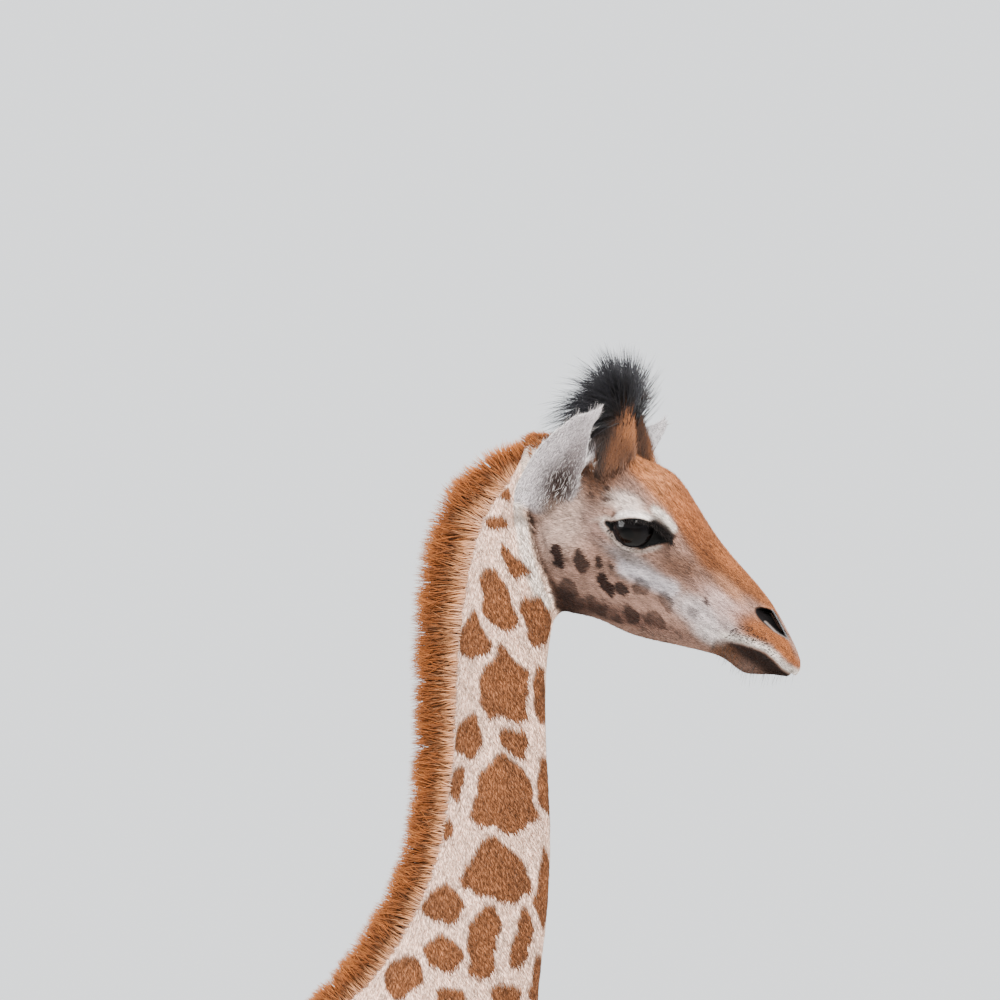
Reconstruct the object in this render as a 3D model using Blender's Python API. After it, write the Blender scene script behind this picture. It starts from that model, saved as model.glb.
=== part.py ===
"""A giraffe calf, a few weeks old, standing still: a life-size display model.

Metres, +Z up. The calf faces -Y and its right side is towards -X. The origin is on the floor, under the
middle of its bounding box. Every outline is the outline of the coat, out to the tips of the hair.

The neck and trunk are lofted from their back line and under line, the head from its own profile, and the legs
from their front and back lines. These are joined, and thin flat cuts part them into the pieces a person would
name. Ears, horns, horn hair and mane are made by themselves and fitted to the surface that they grow from.
"""

import math

import bmesh
import bpy
from mathutils import Matrix, Vector

# ---- driving dimensions (metres, degrees) ----
BODY_MIDDLE = -0.1617    # forward place, in the body's own side view, that stands over the origin
LEG_CUT_HEIGHT = 0.900   # the four legs are parted from the trunk at this level, just under the belly
LEG_CUT_BACK = -0.687    # forward place where that cut ends, between the thighs and the tail
CUT = 0.0006             # width of the thin cuts between pieces
GAP = 0.0004             # clearance round the eyes and under the mane
HOOF_TOP = 0.0600        # where the claws meet the pasterns

HEAD_ORIGIN = (0.0845, 2.1285)   # forward, height: the poll, just behind the ears
HEAD_PITCH = 40.0                # the nose points down by this
HEAD_YAW = 16.0                  # the head is turned to the calf's right by this
HEAD_ROLL = 3.0                  # the right side of the head is held higher by this

EYE_RADIUS = 0.0290
EYE_PLACE = (0.171, 0.012, 0.0450)      # along the head, up, out to the side

FORELEG_STEPS = {"right": 0.030, "left": -0.025}    # how far each hoof stands ahead of square
HINDLEG_STEPS = {"right": -0.050, "left": 0.045}
SIDES = {"right": -1.0, "left": 1.0}                # sign of X

# Ends of the cuts that part the joined body. The first two are along and up the head, mm.
NECK_TOP_CUT = ((-32, -12), (151, -147))
MOUTH_CUT = ((62, -88.4), (462, -0.4))             # along the mouth line, from inside the neck's cut
NECK_FOOT_CUT = ((-0.195, 1.415), (0.082, 1.350))  # forward, height: from the withers to the chest
TAIL_ROOT_CUT = ((-0.694, 1.096), (-0.029, -0.073))  # forward, height, and the way the tail runs there
TAIL_TUFT_TOP = 0.810

MM = 0.001

# ---- outlines ----
# Body, from inside the skull to the rump: back-line point, under-line point (forward, height), half width.
BODY_SECTIONS = (
    ((0.085, 2.132), (0.135, 2.080), 0.028),
    ((0.060, 2.122), (0.124, 2.010), 0.042),
    ((0.018, 2.092), (0.114, 1.960), 0.047),
    ((-0.012, 2.042), (0.103, 1.920), 0.0485),
    ((-0.028, 1.975), (0.096, 1.885), 0.0480),
    ((-0.037, 1.910), (0.0915, 1.845), 0.0475),
    ((-0.043, 1.840), (0.0905, 1.795), 0.0470),
    ((-0.0455, 1.765), (0.0925, 1.735), 0.0475),
    ((-0.053, 1.690), (0.0965, 1.672), 0.049),
    ((-0.065, 1.620), (0.0970, 1.608), 0.052),
    ((-0.088, 1.555), (0.0945, 1.543), 0.056),
    ((-0.122, 1.492), (0.0870, 1.475), 0.062),
    ((-0.165, 1.438), (0.0800, 1.400), 0.072),
    ((-0.215, 1.402), (0.0820, 1.310), 0.088),
    ((-0.262, 1.384), (0.0860, 1.210), 0.104),
    ((-0.300, 1.370), (0.0700, 1.110), 0.116),
    ((-0.330, 1.355), (0.0200, 1.020), 0.124),
    ((-0.360, 1.338), (-0.060, 0.962), 0.132),
    ((-0.395, 1.317), (-0.160, 0.932), 0.140),
    ((-0.435, 1.295), (-0.270, 0.919), 0.146),
    ((-0.480, 1.270), (-0.380, 0.926), 0.145),
    ((-0.525, 1.246), (-0.470, 0.950), 0.136),
    ((-0.570, 1.220), (-0.540, 0.985), 0.126),
    ((-0.615, 1.190), (-0.600, 1.005), 0.112),
    ((-0.652, 1.150), (-0.652, 1.020), 0.088),
    ((-0.678, 1.105), (-0.680, 1.055), 0.048),
)

# Legs: front point, back point (forward, height), distance from the midline, half width.
FORELEG_SECTIONS = (
    ((-0.005, 1.160), (-0.150, 1.110), 0.066, 0.040),
    ((0.012, 1.060), (-0.160, 1.000), 0.078, 0.050),
    ((-0.002, 0.980), (-0.158, 0.938), 0.085, 0.050),
    ((-0.012, 0.900), (-0.140, 0.880), 0.088, 0.047),
    ((-0.020, 0.800), (-0.121, 0.795), 0.087, 0.041),
    ((-0.026, 0.700), (-0.106, 0.700), 0.084, 0.036),
    ((-0.028, 0.605), (-0.098, 0.605), 0.081, 0.033),
    ((-0.024, 0.548), (-0.098, 0.548), 0.080, 0.0345),
    ((-0.019, 0.500), (-0.098, 0.503), 0.079, 0.038),
    ((-0.024, 0.452), (-0.096, 0.458), 0.079, 0.034),
    ((-0.038, 0.405), (-0.092, 0.410), 0.079, 0.027),
    ((-0.042, 0.330), (-0.092, 0.332), 0.078, 0.0230),
    ((-0.042, 0.235), (-0.093, 0.237), 0.077, 0.0225),
    ((-0.039, 0.180), (-0.099, 0.185), 0.077, 0.026),
    ((-0.035, 0.150), (-0.102, 0.156), 0.077, 0.0290),
    ((-0.026, 0.115), (-0.088, 0.112), 0.077, 0.0260),
    ((-0.012, 0.086), (-0.080, 0.078), 0.077, 0.0305),
    ((-0.008, HOOF_TOP), (-0.082, HOOF_TOP), 0.077, 0.0330),
)
HINDLEG_SECTIONS = (
    ((-0.450, 1.130), (-0.640, 1.140), 0.056, 0.050),
    ((-0.428, 1.040), (-0.676, 1.060), 0.065, 0.062),
    ((-0.418, 0.960), (-0.682, 0.988), 0.073, 0.066),
    ((-0.426, 0.890), (-0.672, 0.920), 0.081, 0.061),
    ((-0.464, 0.822), (-0.655, 0.850), 0.086, 0.051),
    ((-0.514, 0.755), (-0.649, 0.785), 0.086, 0.042),
    ((-0.556, 0.692), (-0.655, 0.725), 0.084, 0.034),
    ((-0.586, 0.640), (-0.673, 0.672), 0.083, 0.031),
    ((-0.599, 0.598), (-0.690, 0.634), 0.082, 0.032),
    ((-0.603, 0.555), (-0.688, 0.578), 0.082, 0.034),
    ((-0.603, 0.512), (-0.672, 0.522), 0.081, 0.031),
    ((-0.604, 0.460), (-0.662, 0.464), 0.081, 0.0265),
    ((-0.602, 0.360), (-0.655, 0.362), 0.080, 0.0230),
    ((-0.598, 0.245), (-0.651, 0.247), 0.079, 0.0225),
    ((-0.592, 0.182), (-0.655, 0.187), 0.079, 0.026),
    ((-0.587, 0.152), (-0.658, 0.158), 0.079, 0.0290),
    ((-0.577, 0.116), (-0.641, 0.113), 0.079, 0.0260),
    ((-0.563, 0.086), (-0.633, 0.078), 0.079, 0.0305),
    ((-0.559, HOOF_TOP), (-0.635, HOOF_TOP), 0.079, 0.0330),
)

# Head, in millimetres along it from the poll: top, bottom, half width at eye level, half width of the jaw.
HEAD_SECTIONS = (
    (-24, 10, -36, 24, 20),
    (-8, 22, -70, 37, 33),
    (20, 38, -90, 43, 38),
    (50, 55, -108, 46, 40),
    (80, 71, -124, 51, 42),
    (110, 84, -139, 56, 44),
    (140, 92, -147, 60, 43),
    (165, 91, -136, 60, 41),
    (195, 82, -119, 55, 38),
    (230, 71, -107, 46, 32),
    (265, 62, -94, 39, 27),
    (300, 57, -79, 35, 25),
    (330, 53, -64, 34, 24),
    (355, 48, -52, 35, 24),
    (380, 39, -47, 35, 24),
    (403, 30, -38, 33, 23),
    (421, 22, -27, 29, 20),
    (437, 12, -18, 19, 12),
    (446, 3, -12, 7, 5),
)
# Soft pushes on the head's surface, mm along, up and out: centre, reach (three radii), push.
HEAD_PUSHES = {
    "brow_ridge": ((158, 42, 56), (34, 17, 26), (0, 4, 9)),
    "eye_socket_rim": ((176, -16, 56), (40, 16, 24), (0, 0, 4)),
    "cheekbone": ((215, -4, 48), (34, 14, 20), (0, 0, 5)),
    "cheek_muscle": ((112, -72, 46), (46, 42, 30), (0, 0, 7)),
    "temple_hollow": ((118, 34, 58), (26, 22, 22), (0, 0, -5)),
    "nose_side_hollow": ((262, 22, 38), (40, 22, 18), (0, 0, -4)),
    "nostril_wing": ((372, 26, 34), (20, 14, 16), (2, 3, 6)),
    "upper_lip_swell": ((412, 2, 24), (24, 14, 20), (6, -4, 4)),
    "chin_swell": ((382, -44, 0), (22, 16, 26), (2, -5, 0)),
    "jaw_hollow": ((255, -48, 30), (50, 26, 16), (0, 0, -4)),
}

# Horn cores: distance along, up and out of the base and tip, mm, and the radii up the horn.
HORN_BASE = (90, 50, 33)
HORN_TIP = (43, 122, 43)
HORN_RADII = ((-0.55, 16), (-0.25, 24), (0.0, 27.5), (0.2, 26.5), (0.45, 22), (0.75, 17), (1.06, 13.5))
# Hair on each horn: share of its length, half height of the fan, half thickness, mm.
TUFT_END = {"right": (-40, 122, 52), "left": (-22, 150, 40)}
TUFT_SECTIONS = ((-0.1, 11, 11), (0.15, 17, 15), (0.4, 30, 21), (0.7, 40, 24), (0.9, 38, 21), (1.0, 22, 12))

# Ears: centre of each section (along, up, out), half width and depth, mm, and how much of it is a thin cup.
EAR_SECTIONS = (
    ((62, -34, 16), 12, 12, 0.0),
    ((60, -40, 38), 17, 15, 0.0),
    ((58, -33, 61), 28, 17, 0.6),
    ((57, -12, 72), 36, 20, 1.0),
    ((55, 12, 77), 38.5, 20, 1.0),
    ((53, 34, 81), 35, 18, 1.0),
    ((50, 56, 86), 27.5, 14, 1.0),
    ((46, 78, 92), 18.5, 10, 1.0),
    ((42, 98, 97), 10.5, 7, 1.0),
    ((39, 113, 102), 4.5, 4.5, 0.6),
    ((38, 118, 104), 1.8, 2.2, 0.0),
)
EAR_THICKNESS = 5.0
EAR_STEPS = 7                      # straight steps across the back of an ear
EAR_FACING = (0.42, -0.10, 0.90)   # the cup opens forwards and outwards
EAR_BEND = -8                       # the height above which an ear can lean forwards, mm
EAR_SWING = {"right": 0.0, "left": 0.18}    # how far each ear leans forwards, per unit of height

# Each nostril: middle and half size, along the head, up and out, mm.
NOSTRIL = ((371, 27, 38), (21, 7.5, 10))

MANE_ROOT_DEPTH = 0.014

# Mane: nape point under the hair (forward, height), height of the hair over it, half thickness at the root.
MANE_SECTIONS = (
    ((0.078, 2.128), 0.020, 0.010),
    ((0.052, 2.118), 0.034, 0.014),
    ((0.018, 2.092), 0.046, 0.017),
    ((-0.012, 2.042), 0.056, 0.018),
    ((-0.028, 1.975), 0.058, 0.018),
    ((-0.037, 1.910), 0.055, 0.018),
    ((-0.043, 1.840), 0.049, 0.018),
    ((-0.0455, 1.765), 0.046, 0.018),
    ((-0.053, 1.690), 0.043, 0.019),
    ((-0.065, 1.620), 0.041, 0.020),
    ((-0.088, 1.555), 0.040, 0.021),
    ((-0.122, 1.492), 0.042, 0.022),
    ((-0.165, 1.438), 0.037, 0.023),
    ((-0.212, 1.403), 0.024, 0.021),
    ((-0.250, 1.388), 0.013, 0.017),
    ((-0.285, 1.376), 0.006, 0.011),
)

# Section of the mane: across from the midline, in half thicknesses, and height, in shares of its height.
MANE_PROFILE = ((-1.0, 0.0), (-0.86, 0.45), (-0.62, 0.86), (0.0, 1.0), (0.62, 0.86), (0.86, 0.45), (1.0, 0.0))

# Tail: (forward, height), radius. The last part is the tuft of black hair.
TAIL_SECTIONS = (
    ((-0.650, 1.120), 0.020),
    ((-0.682, 1.112), 0.019),
    ((-0.700, 1.088), 0.0165),
    ((-0.709, 1.040), 0.0135),
    ((-0.712, 0.960), 0.0110),
    ((-0.712, 0.880), 0.0100),
    ((-0.711, 0.808), 0.0105),
)
TAIL_TUFT_SECTIONS = (
    ((-0.711, 0.813), 0.0100),
    ((-0.712, 0.770), 0.0190),
    ((-0.714, 0.710), 0.0250),
    ((-0.716, 0.650), 0.0240),
    ((-0.717, 0.600), 0.0170),
    ((-0.718, 0.565), 0.0050),
)

# Each claw: height, toe and heel ahead of the leg's back line, inner and outer edge from the foot's middle.
CLAW_SECTIONS = (
    (HOOF_TOP - 0.0004, 0.068, 0.001, 0.0025, 0.031),
    (0.040, 0.080, -0.001, 0.0020, 0.034),
    (0.018, 0.092, -0.001, 0.0018, 0.0355),
    (0.000, 0.098, 0.002, 0.0018, 0.0360),
)

MESH_SIDES = {"body": 16, "leg": 12, "head": 24, "horn": 10, "tuft": 10, "tail": 8, "claw": 10}
RINGS = {"body": 40, "leg": 18, "head": 29, "horn": 6, "tuft": 7, "mane": 26, "tail": 8, "ear": 11}


# ---- small helpers ----
def smooth_rows(rows, count):
    """Rows of numbers, resampled to count rows on one Catmull-Rom curve through them."""
    last = len(rows) - 1
    made = []
    for i in range(count):
        at = i * last / (count - 1)
        k = min(int(at), last - 1)
        t = at - k
        p0, p1, p2, p3 = (rows[min(max(k + d, 0), last)] for d in (-1, 0, 1, 2))
        made.append(tuple(spline(a, b, c, d, t) for a, b, c, d in zip(p0, p1, p2, p3)))
    return made


def spline(a, b, c, d, t):
    """The Catmull-Rom curve between b and c, where t is 0 to 1."""
    return b + 0.5 * t * (c - a + t * (2 * a - 5 * b + 4 * c - d + t * (3 * b - a - 3 * c + d)))


def flat(row):
    """A row with nested points, as one tuple of numbers."""
    return tuple(n for item in row for n in (item if isinstance(item, tuple) else (item,)))


def in_body(forward, side, height):
    """A point of the body's side view, with its distance towards +X, in the part's frame."""
    return Vector((side, BODY_MIDDLE - forward, height))


def head_frame():
    """Matrix from the head's own axes (along, up, right) to the part's frame."""
    pitch, yaw, roll = (math.radians(a) for a in (HEAD_PITCH, HEAD_YAW, HEAD_ROLL))
    ahead = Vector((-math.sin(yaw), -math.cos(yaw), 0))
    right = Vector((-math.cos(yaw), math.sin(yaw), 0))
    along = math.cos(pitch) * ahead - math.sin(pitch) * Vector((0, 0, 1))
    up = math.sin(pitch) * ahead + math.cos(pitch) * Vector((0, 0, 1))
    rolled_right = math.cos(roll) * right + math.sin(roll) * up
    rolled_up = math.cos(roll) * up - math.sin(roll) * right
    matrix = Matrix((along, rolled_up, rolled_right)).transposed().to_4x4()
    matrix.translation = in_body(HEAD_ORIGIN[0], 0, HEAD_ORIGIN[1])
    return matrix


HEAD = head_frame()


def in_head(along, up, right):
    """A point in the head's own axes, in millimetres, in the part's frame."""
    return HEAD @ (Vector((along, up, right)) * MM)


def loft(name, rings):
    """A closed mesh object through rings of points, with a flat cap at each end.

    Its quads are split one way, so that a copy grown by a gap keeps that gap all over.
    """
    mesh = bpy.data.meshes.new(name)
    bm = bmesh.new()
    loops = [[bm.verts.new(p) for p in ring] for ring in rings]
    for lower, upper in zip(loops, loops[1:]):
        for i, vert in enumerate(lower):
            j = (i + 1) % len(lower)
            bm.faces.new((vert, lower[j], upper[j], upper[i]))
    bm.faces.new(list(reversed(loops[0])))
    bm.faces.new(loops[-1])
    bmesh.ops.triangulate(bm, faces=bm.faces[:], quad_method="FIXED")
    if bm.calc_volume(signed=True) < 0:
        bmesh.ops.reverse_faces(bm, faces=bm.faces)
    bm.to_mesh(mesh)
    bm.free()
    return bpy.data.objects.new(name, mesh)


def oval(centre, first, second, sides, pinch=0.0):
    """Points of an oval with two half axes. pinch narrows it towards the end that first points to."""
    points = []
    for i in range(sides):
        angle = 2 * math.pi * i / sides
        across = math.sin(angle) * (1 - pinch * max(0.0, math.cos(angle)))
        points.append(centre + first * math.cos(angle) + second * across)
    return points


# ---- materials ----
FINISHES = {
    "cream_coat": ((0.80, 0.70, 0.62), 0.75),
    "tan_face": ((0.55, 0.38, 0.26), 0.75),
    "white_ear": ((0.82, 0.80, 0.80), 0.75),
    "ginger_mane": ((0.52, 0.28, 0.12), 0.80),
    "black_hair": ((0.03, 0.03, 0.035), 0.60),
    "dark_eye": ((0.01, 0.01, 0.012), 0.08),
    "hoof_horn": ((0.09, 0.07, 0.06), 0.45),
}


def finish(name):
    """The Principled material of that name, made once."""
    found = bpy.data.materials.get(name)
    if found:
        return found
    colour, roughness = FINISHES[name]
    material = bpy.data.materials.new(name)
    material.use_nodes = True
    shader = material.node_tree.nodes["Principled BSDF"]
    shader.inputs["Base Color"].default_value = (*colour, 1)
    shader.inputs["Roughness"].default_value = roughness
    shader.inputs["Metallic"].default_value = 0.0
    return material


# ---- shapes of the flesh ----
def body_rings(grow=0.0):
    """Sections of neck and trunk, from the skull to the rump, grown outwards by grow."""
    rings = []
    for df, dz, vf, vz, width in smooth_rows([flat(r) for r in BODY_SECTIONS], RINGS["body"]):
        back, under = in_body(df, 0, dz), in_body(vf, 0, vz)
        half = (back - under) / 2
        half *= (half.length + grow) / half.length
        side = Vector((width + grow, 0, 0))
        rings.append(oval((back + under) / 2, half, side, MESH_SIDES["body"], pinch=0.22))
    return rings


def make_leg(name, sections, side, step):
    """A leg as one closed loft. step leans it, so that its hoof stands that far ahead of square."""
    rings = []
    for ff, fz, bf, bz, out, width in smooth_rows([flat(r) for r in sections], RINGS["leg"]):
        front = in_body(ff + step * max(0.0, 1 - fz), side * out, fz)
        back = in_body(bf + step * max(0.0, 1 - bz), side * out, bz)
        rings.append(oval((front + back) / 2, (front - back) / 2, Vector((width, 0, 0)), MESH_SIDES["leg"]))
    return loft(name, rings)


def pushed(point):
    """A point of the head's surface, in its own millimetres, after the soft pushes on both sides."""
    moved = Vector(point)
    for centre, reach, push in HEAD_PUSHES.values():
        for side in (1, -1):
            if side < 0 and centre[2] == 0:
                continue
            away = sum(((c - m * f) / r) ** 2 for c, m, f, r in zip(point, centre, (1, 1, side), reach))
            moved += Vector((push[0], push[1], push[2] * side)) * math.exp(-away)
    return moved


def make_head(grow=0.0):
    """The skull, face and lower jaw as one closed loft, grown outwards by grow."""
    rings = []
    more = grow / MM
    for along, top, bottom, wide, jaw in smooth_rows(HEAD_SECTIONS, RINGS["head"]):
        top, bottom, wide, jaw = top + more, bottom - more, wide + more, jaw + more
        along -= 0 if rings else more
        middle = (top + bottom) / 2
        level = middle + (6 - middle) * min(1.0, max(0.0, along / 150))
        level = min(max(level, bottom + 4), top - 4)
        ring = []
        for i in range(MESH_SIDES["head"]):
            angle = 2 * math.pi * i / MESH_SIDES["head"]
            c, s = math.cos(angle), math.sin(angle)
            height = (top - level) * c if c > 0 else (level - bottom) * c
            lower = min(1.0, max(0.0, -c) * 1.35)
            width = wide + (jaw - wide) * lower * lower * (3 - 2 * lower)
            point = (along, level + height, width * math.copysign(abs(s) ** 0.86, s))
            ring.append(in_head(*pushed(point)))
        rings.append(ring)
    return loft("head_whole", rings)


def make_horn(side, grow=0.0):
    """A horn core, a blunt cone, with its base inside the skull. grow widens and lengthens it."""
    base, tip = (in_head(p[0], p[1], -side * p[2]) for p in (HORN_BASE, HORN_TIP))
    axis = tip - base
    one = axis.cross(Vector((0, 1, 0))).normalized()
    two = axis.cross(one).normalized()
    rings = []
    for share, radius in smooth_rows(HORN_RADII, RINGS["horn"]):
        wide = radius * MM + grow
        middle = base + axis * share + axis.normalized() * grow
        rings.append(oval(middle, one * wide, two * wide, MESH_SIDES["horn"]))
    return loft("horn", rings)


def make_horn_tuft(side, end):
    """The fan of hair on top of a horn, swept back."""
    root = in_head(HORN_TIP[0], HORN_TIP[1], -side * HORN_TIP[2])
    tip = in_head(end[0], end[1], -side * end[2])
    axis = tip - root
    thick = Vector((1, 0, 0))
    thick = (thick - thick.project(axis)).normalized()
    tall = axis.cross(thick).normalized()
    rings = [
        oval(root + axis * share, tall * height * MM, thick * depth * MM, MESH_SIDES["tuft"])
        for share, height, depth in smooth_rows(TUFT_SECTIONS, RINGS["tuft"])
    ]
    return loft("horn_tuft", rings)


def ear_ring(centre, across, front, width, depth, cup):
    """One section of an ear: an oval where cup is 0, a thin crescent open to the front where it is 1."""
    inner = depth + (EAR_THICKNESS - 2 * depth) * cup
    angles = [math.pi * (k / EAR_STEPS - 0.5) for k in range(EAR_STEPS + 1)]
    back_face = [centre + across * width * math.sin(a) - front * depth * math.cos(a) for a in angles]
    width *= 0.94
    cup_face = [centre + across * width * math.sin(a) + front * inner * math.cos(a) for a in angles[1:-1]]
    return back_face + cup_face[::-1]


def make_ear(side, swing):
    """A pointed ear, a cupped leaf on a round root. swing leans it forwards."""
    rows = [((c[0] + swing * max(0, c[1] - EAR_BEND), c[1], c[2]), *rest) for c, *rest in EAR_SECTIONS]
    rows = smooth_rows([flat(row) for row in rows], RINGS["ear"])
    facing = Vector(EAR_FACING).normalized()
    rings = []
    for i, (along, up, out, width, depth, cup) in enumerate(rows):
        before, after = rows[max(i - 1, 0)], rows[min(i + 1, len(rows) - 1)]
        axis = (Vector(after[:3]) - Vector(before[:3])).normalized()
        front = (facing - facing.project(axis)).normalized()
        ring = ear_ring(Vector((along, up, out)), axis.cross(front), front, width, depth, cup)
        rings.append([in_head(p[0], p[1], -side * p[2]) for p in ring])
    return loft("ear", rings)


def tube(name, sections, count, sides):
    """A tapering round tube in the midline."""
    rows = smooth_rows([flat(r) for r in sections], count)
    rings = []
    for i, (forward, height, radius) in enumerate(rows):
        a, b = rows[max(i - 1, 0)], rows[min(i + 1, len(rows) - 1)]
        along = (in_body(b[0], 0, b[1]) - in_body(a[0], 0, a[1])).normalized()
        normal = Vector((1, 0, 0)).cross(along)
        rings.append(oval(in_body(forward, 0, height), normal * radius, Vector((radius, 0, 0)), sides))
    return loft(name, rings)


def make_mane():
    """The upright mane, a long wedge of hair from the poll to the withers, rooted inside the neck."""
    rows = smooth_rows([flat(r) for r in MANE_SECTIONS], RINGS["mane"])
    rings = []
    for i, (forward, height, tall, thick) in enumerate(rows):
        a, b = rows[max(i - 1, 0)], rows[min(i + 1, len(rows) - 1)]
        along = (in_body(b[0], 0, b[1]) - in_body(a[0], 0, a[1])).normalized()
        out = Vector((1, 0, 0)).cross(along)
        root = in_body(forward, 0, height) - out * MANE_ROOT_DEPTH
        top = in_body(forward, 0, height) + out * tall
        side = Vector((thick, 0, 0))
        rings.append([root + (top - root) * up + side * across for across, up in MANE_PROFILE])
    return loft("mane", rings)


def make_claw(name, leg_side, sections, claw_side, step):
    """One of a foot's two claws, with a flat sole on the floor."""
    heel = sections[-1][1][0] + step * (1 - HOOF_TOP)
    middle = leg_side * sections[-1][2]
    rings = []
    for height, toe, back, inner, outer in CLAW_SECTIONS:
        ring = []
        for i in range(MESH_SIDES["claw"]):
            angle = 2 * math.pi * i / MESH_SIDES["claw"]
            length = (toe + back) / 2 + (toe - back) / 2 * math.cos(angle)
            narrow = 1 - 0.30 * max(0.0, math.cos(angle)) ** 2
            across = math.copysign(abs(math.sin(angle)) ** 0.75, math.sin(angle))
            mid, half = (inner + outer) / 2, (outer - inner) / 2
            side = mid + half * across * narrow - half * (1 - narrow) * 0.8
            ring.append(in_body(heel + length, middle + claw_side * side, height))
        rings.append(ring)
    return loft(name, rings)


# ---- joining, cutting, naming ----
def modified(obj, others, operation):
    """obj's mesh after Boolean steps with the other objects, which are then removed."""
    bpy.context.scene.collection.objects.link(obj)
    for other in others:
        bpy.context.scene.collection.objects.link(other)
        other.hide_render = True
        step = obj.modifiers.new(operation.lower(), "BOOLEAN")
        step.operation = operation
        step.solver = "EXACT"
        step.object = other
    bpy.context.view_layer.update()
    mesh = bpy.data.meshes.new_from_object(obj.evaluated_get(bpy.context.evaluated_depsgraph_get()))
    for used in (obj, *others):
        bpy.data.objects.remove(used)
    return bpy.data.objects.new("joined", mesh)


def box(low, high, frame=None):
    """A box between two corners, in the part's frame or in another frame given as a matrix."""
    mesh = bpy.data.meshes.new("box")
    bm = bmesh.new()
    bmesh.ops.create_cube(bm, size=1.0)
    low, high = Vector(low), Vector(high)
    scale = Matrix.Diagonal((*(high - low), 1))
    bm.transform((frame or Matrix()) @ Matrix.Translation((low + high) / 2) @ scale)
    bm.to_mesh(mesh)
    bm.free()
    return bpy.data.objects.new("cutter", mesh)


def slab(point, normal, reach):
    """A thin square plate centred on point and facing normal, which parts what it crosses."""
    frame = Vector(normal).to_track_quat("Z", "X").to_matrix().to_4x4()
    frame.translation = point
    return box((-reach, -reach, -CUT / 2), (reach, reach, CUT / 2), frame)


def ball(centre, half_size, segments=14, rings=8):
    """An ellipsoid in the head's axes, centred on a point of the head, everything in millimetres."""
    mesh = bpy.data.meshes.new("ball")
    bm = bmesh.new()
    bmesh.ops.create_uvsphere(bm, u_segments=segments, v_segments=rings, radius=MM)
    bm.transform(HEAD @ Matrix.Translation(Vector(centre) * MM) @ Matrix.Diagonal((*half_size, 1)))
    bm.to_mesh(mesh)
    bm.free()
    return bpy.data.objects.new("ball", mesh)


def head_slab(start, end, reach):
    """A thin square plate across the head, through the middle of two points along and up the head, in mm."""
    middle = in_head((start[0] + end[0]) / 2, (start[1] + end[1]) / 2, 0)
    normal = HEAD.to_3x3() @ Vector((start[1] - end[1], end[0] - start[0], 0))
    return slab(middle, normal.normalized(), reach)


def cutters():
    """The plates that part the joined calf into its named pieces."""
    level, half = LEG_CUT_HEIGHT, CUT / 2
    behind = in_body(LEG_CUT_BACK, 0, 0).y
    cuts = [box((-0.3, -0.7, level - half), (0.3, behind, level + half))]
    cuts.append(head_slab(*NECK_TOP_CUT, 0.145))
    cuts.append(head_slab(*MOUTH_CUT, 0.205))
    withers, chest = (in_body(forward, 0, height) for forward, height in NECK_FOOT_CUT)
    cuts.append(slab((withers + chest) / 2, (withers - chest).cross(Vector((1, 0, 0))), 0.200))
    (forward, height), (ahead, rise) = TAIL_ROOT_CUT
    cuts.append(slab(in_body(forward, 0, height), Vector((0, -ahead, rise)), 0.030))
    cuts.append(slab(in_body(TAIL_TUFT_SECTIONS[0][0][0], 0, TAIL_TUFT_TOP), (0, 0, 1), 0.035))
    return cuts


def islands(mesh):
    """The separate closed bodies of a mesh, as lists of vertex indices."""
    bm = bmesh.new()
    bm.from_mesh(mesh)
    seen, found = set(), []
    for start in bm.verts:
        if start.index in seen:
            continue
        body, todo = [], [start]
        seen.add(start.index)
        while todo:
            vert = todo.pop()
            body.append(vert.index)
            for edge in vert.link_edges:
                other = edge.other_vert(vert)
                if other.index not in seen:
                    seen.add(other.index)
                    todo.append(other)
        found.append(body)
    bm.free()
    return found


def keep_only(mesh, indices, name):
    """A copy of the mesh with only those vertices."""
    kept = set(indices)
    bm = bmesh.new()
    bm.from_mesh(mesh)
    bmesh.ops.delete(bm, geom=[v for v in bm.verts if v.index not in kept], context="VERTS")
    made = bpy.data.meshes.new(name)
    bm.to_mesh(made)
    bm.free()
    return made


def place(name, mesh, origin, material, collection):
    """Puts a piece in the scene, with its origin at the place where it joins its neighbour."""
    mesh.transform(Matrix.Translation(-origin))
    mesh.materials.clear()
    mesh.materials.append(finish(material))
    for face in mesh.polygons:
        face.material_index = 0
    mesh.shade_smooth()
    mesh.set_sharp_from_angle(angle=math.radians(50))
    obj = bpy.data.objects.new(name, mesh)
    obj.location = origin
    collection.objects.link(obj)
    return obj


def piece_marks():
    """A point on each piece, its joint's place and its finish: the parted bodies are named by these."""
    marks = {
        "head": (in_head(250, 60, 0), in_head(0, 0, 0), "tan_face"),
        "lower_jaw": (in_head(330, -56, 0), in_head(150, -80, 0), "tan_face"),
        "neck": (in_body(0.09, 0, 1.75), in_body(0.03, 0, 1.90), "cream_coat"),
        "trunk": (in_body(-0.27, 0, 0.92), in_body(-0.20, 0, 1.20), "cream_coat"),
        "tail": (in_body(-0.71, 0, 0.90), in_body(-0.694, 0, 1.096), "cream_coat"),
        "tail_tuft": (in_body(-0.715, 0, 0.66), in_body(-0.711, 0, 0.81), "black_hair"),
    }
    for name, side in SIDES.items():
        for kind, forward in (("foreleg_", -0.06), ("hindleg_", -0.63)):
            top = in_body(forward, side * 0.08, LEG_CUT_HEIGHT)
            marks[kind + name] = (in_body(forward, side * 0.08, 0.33), top, "cream_coat")
    return marks


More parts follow.
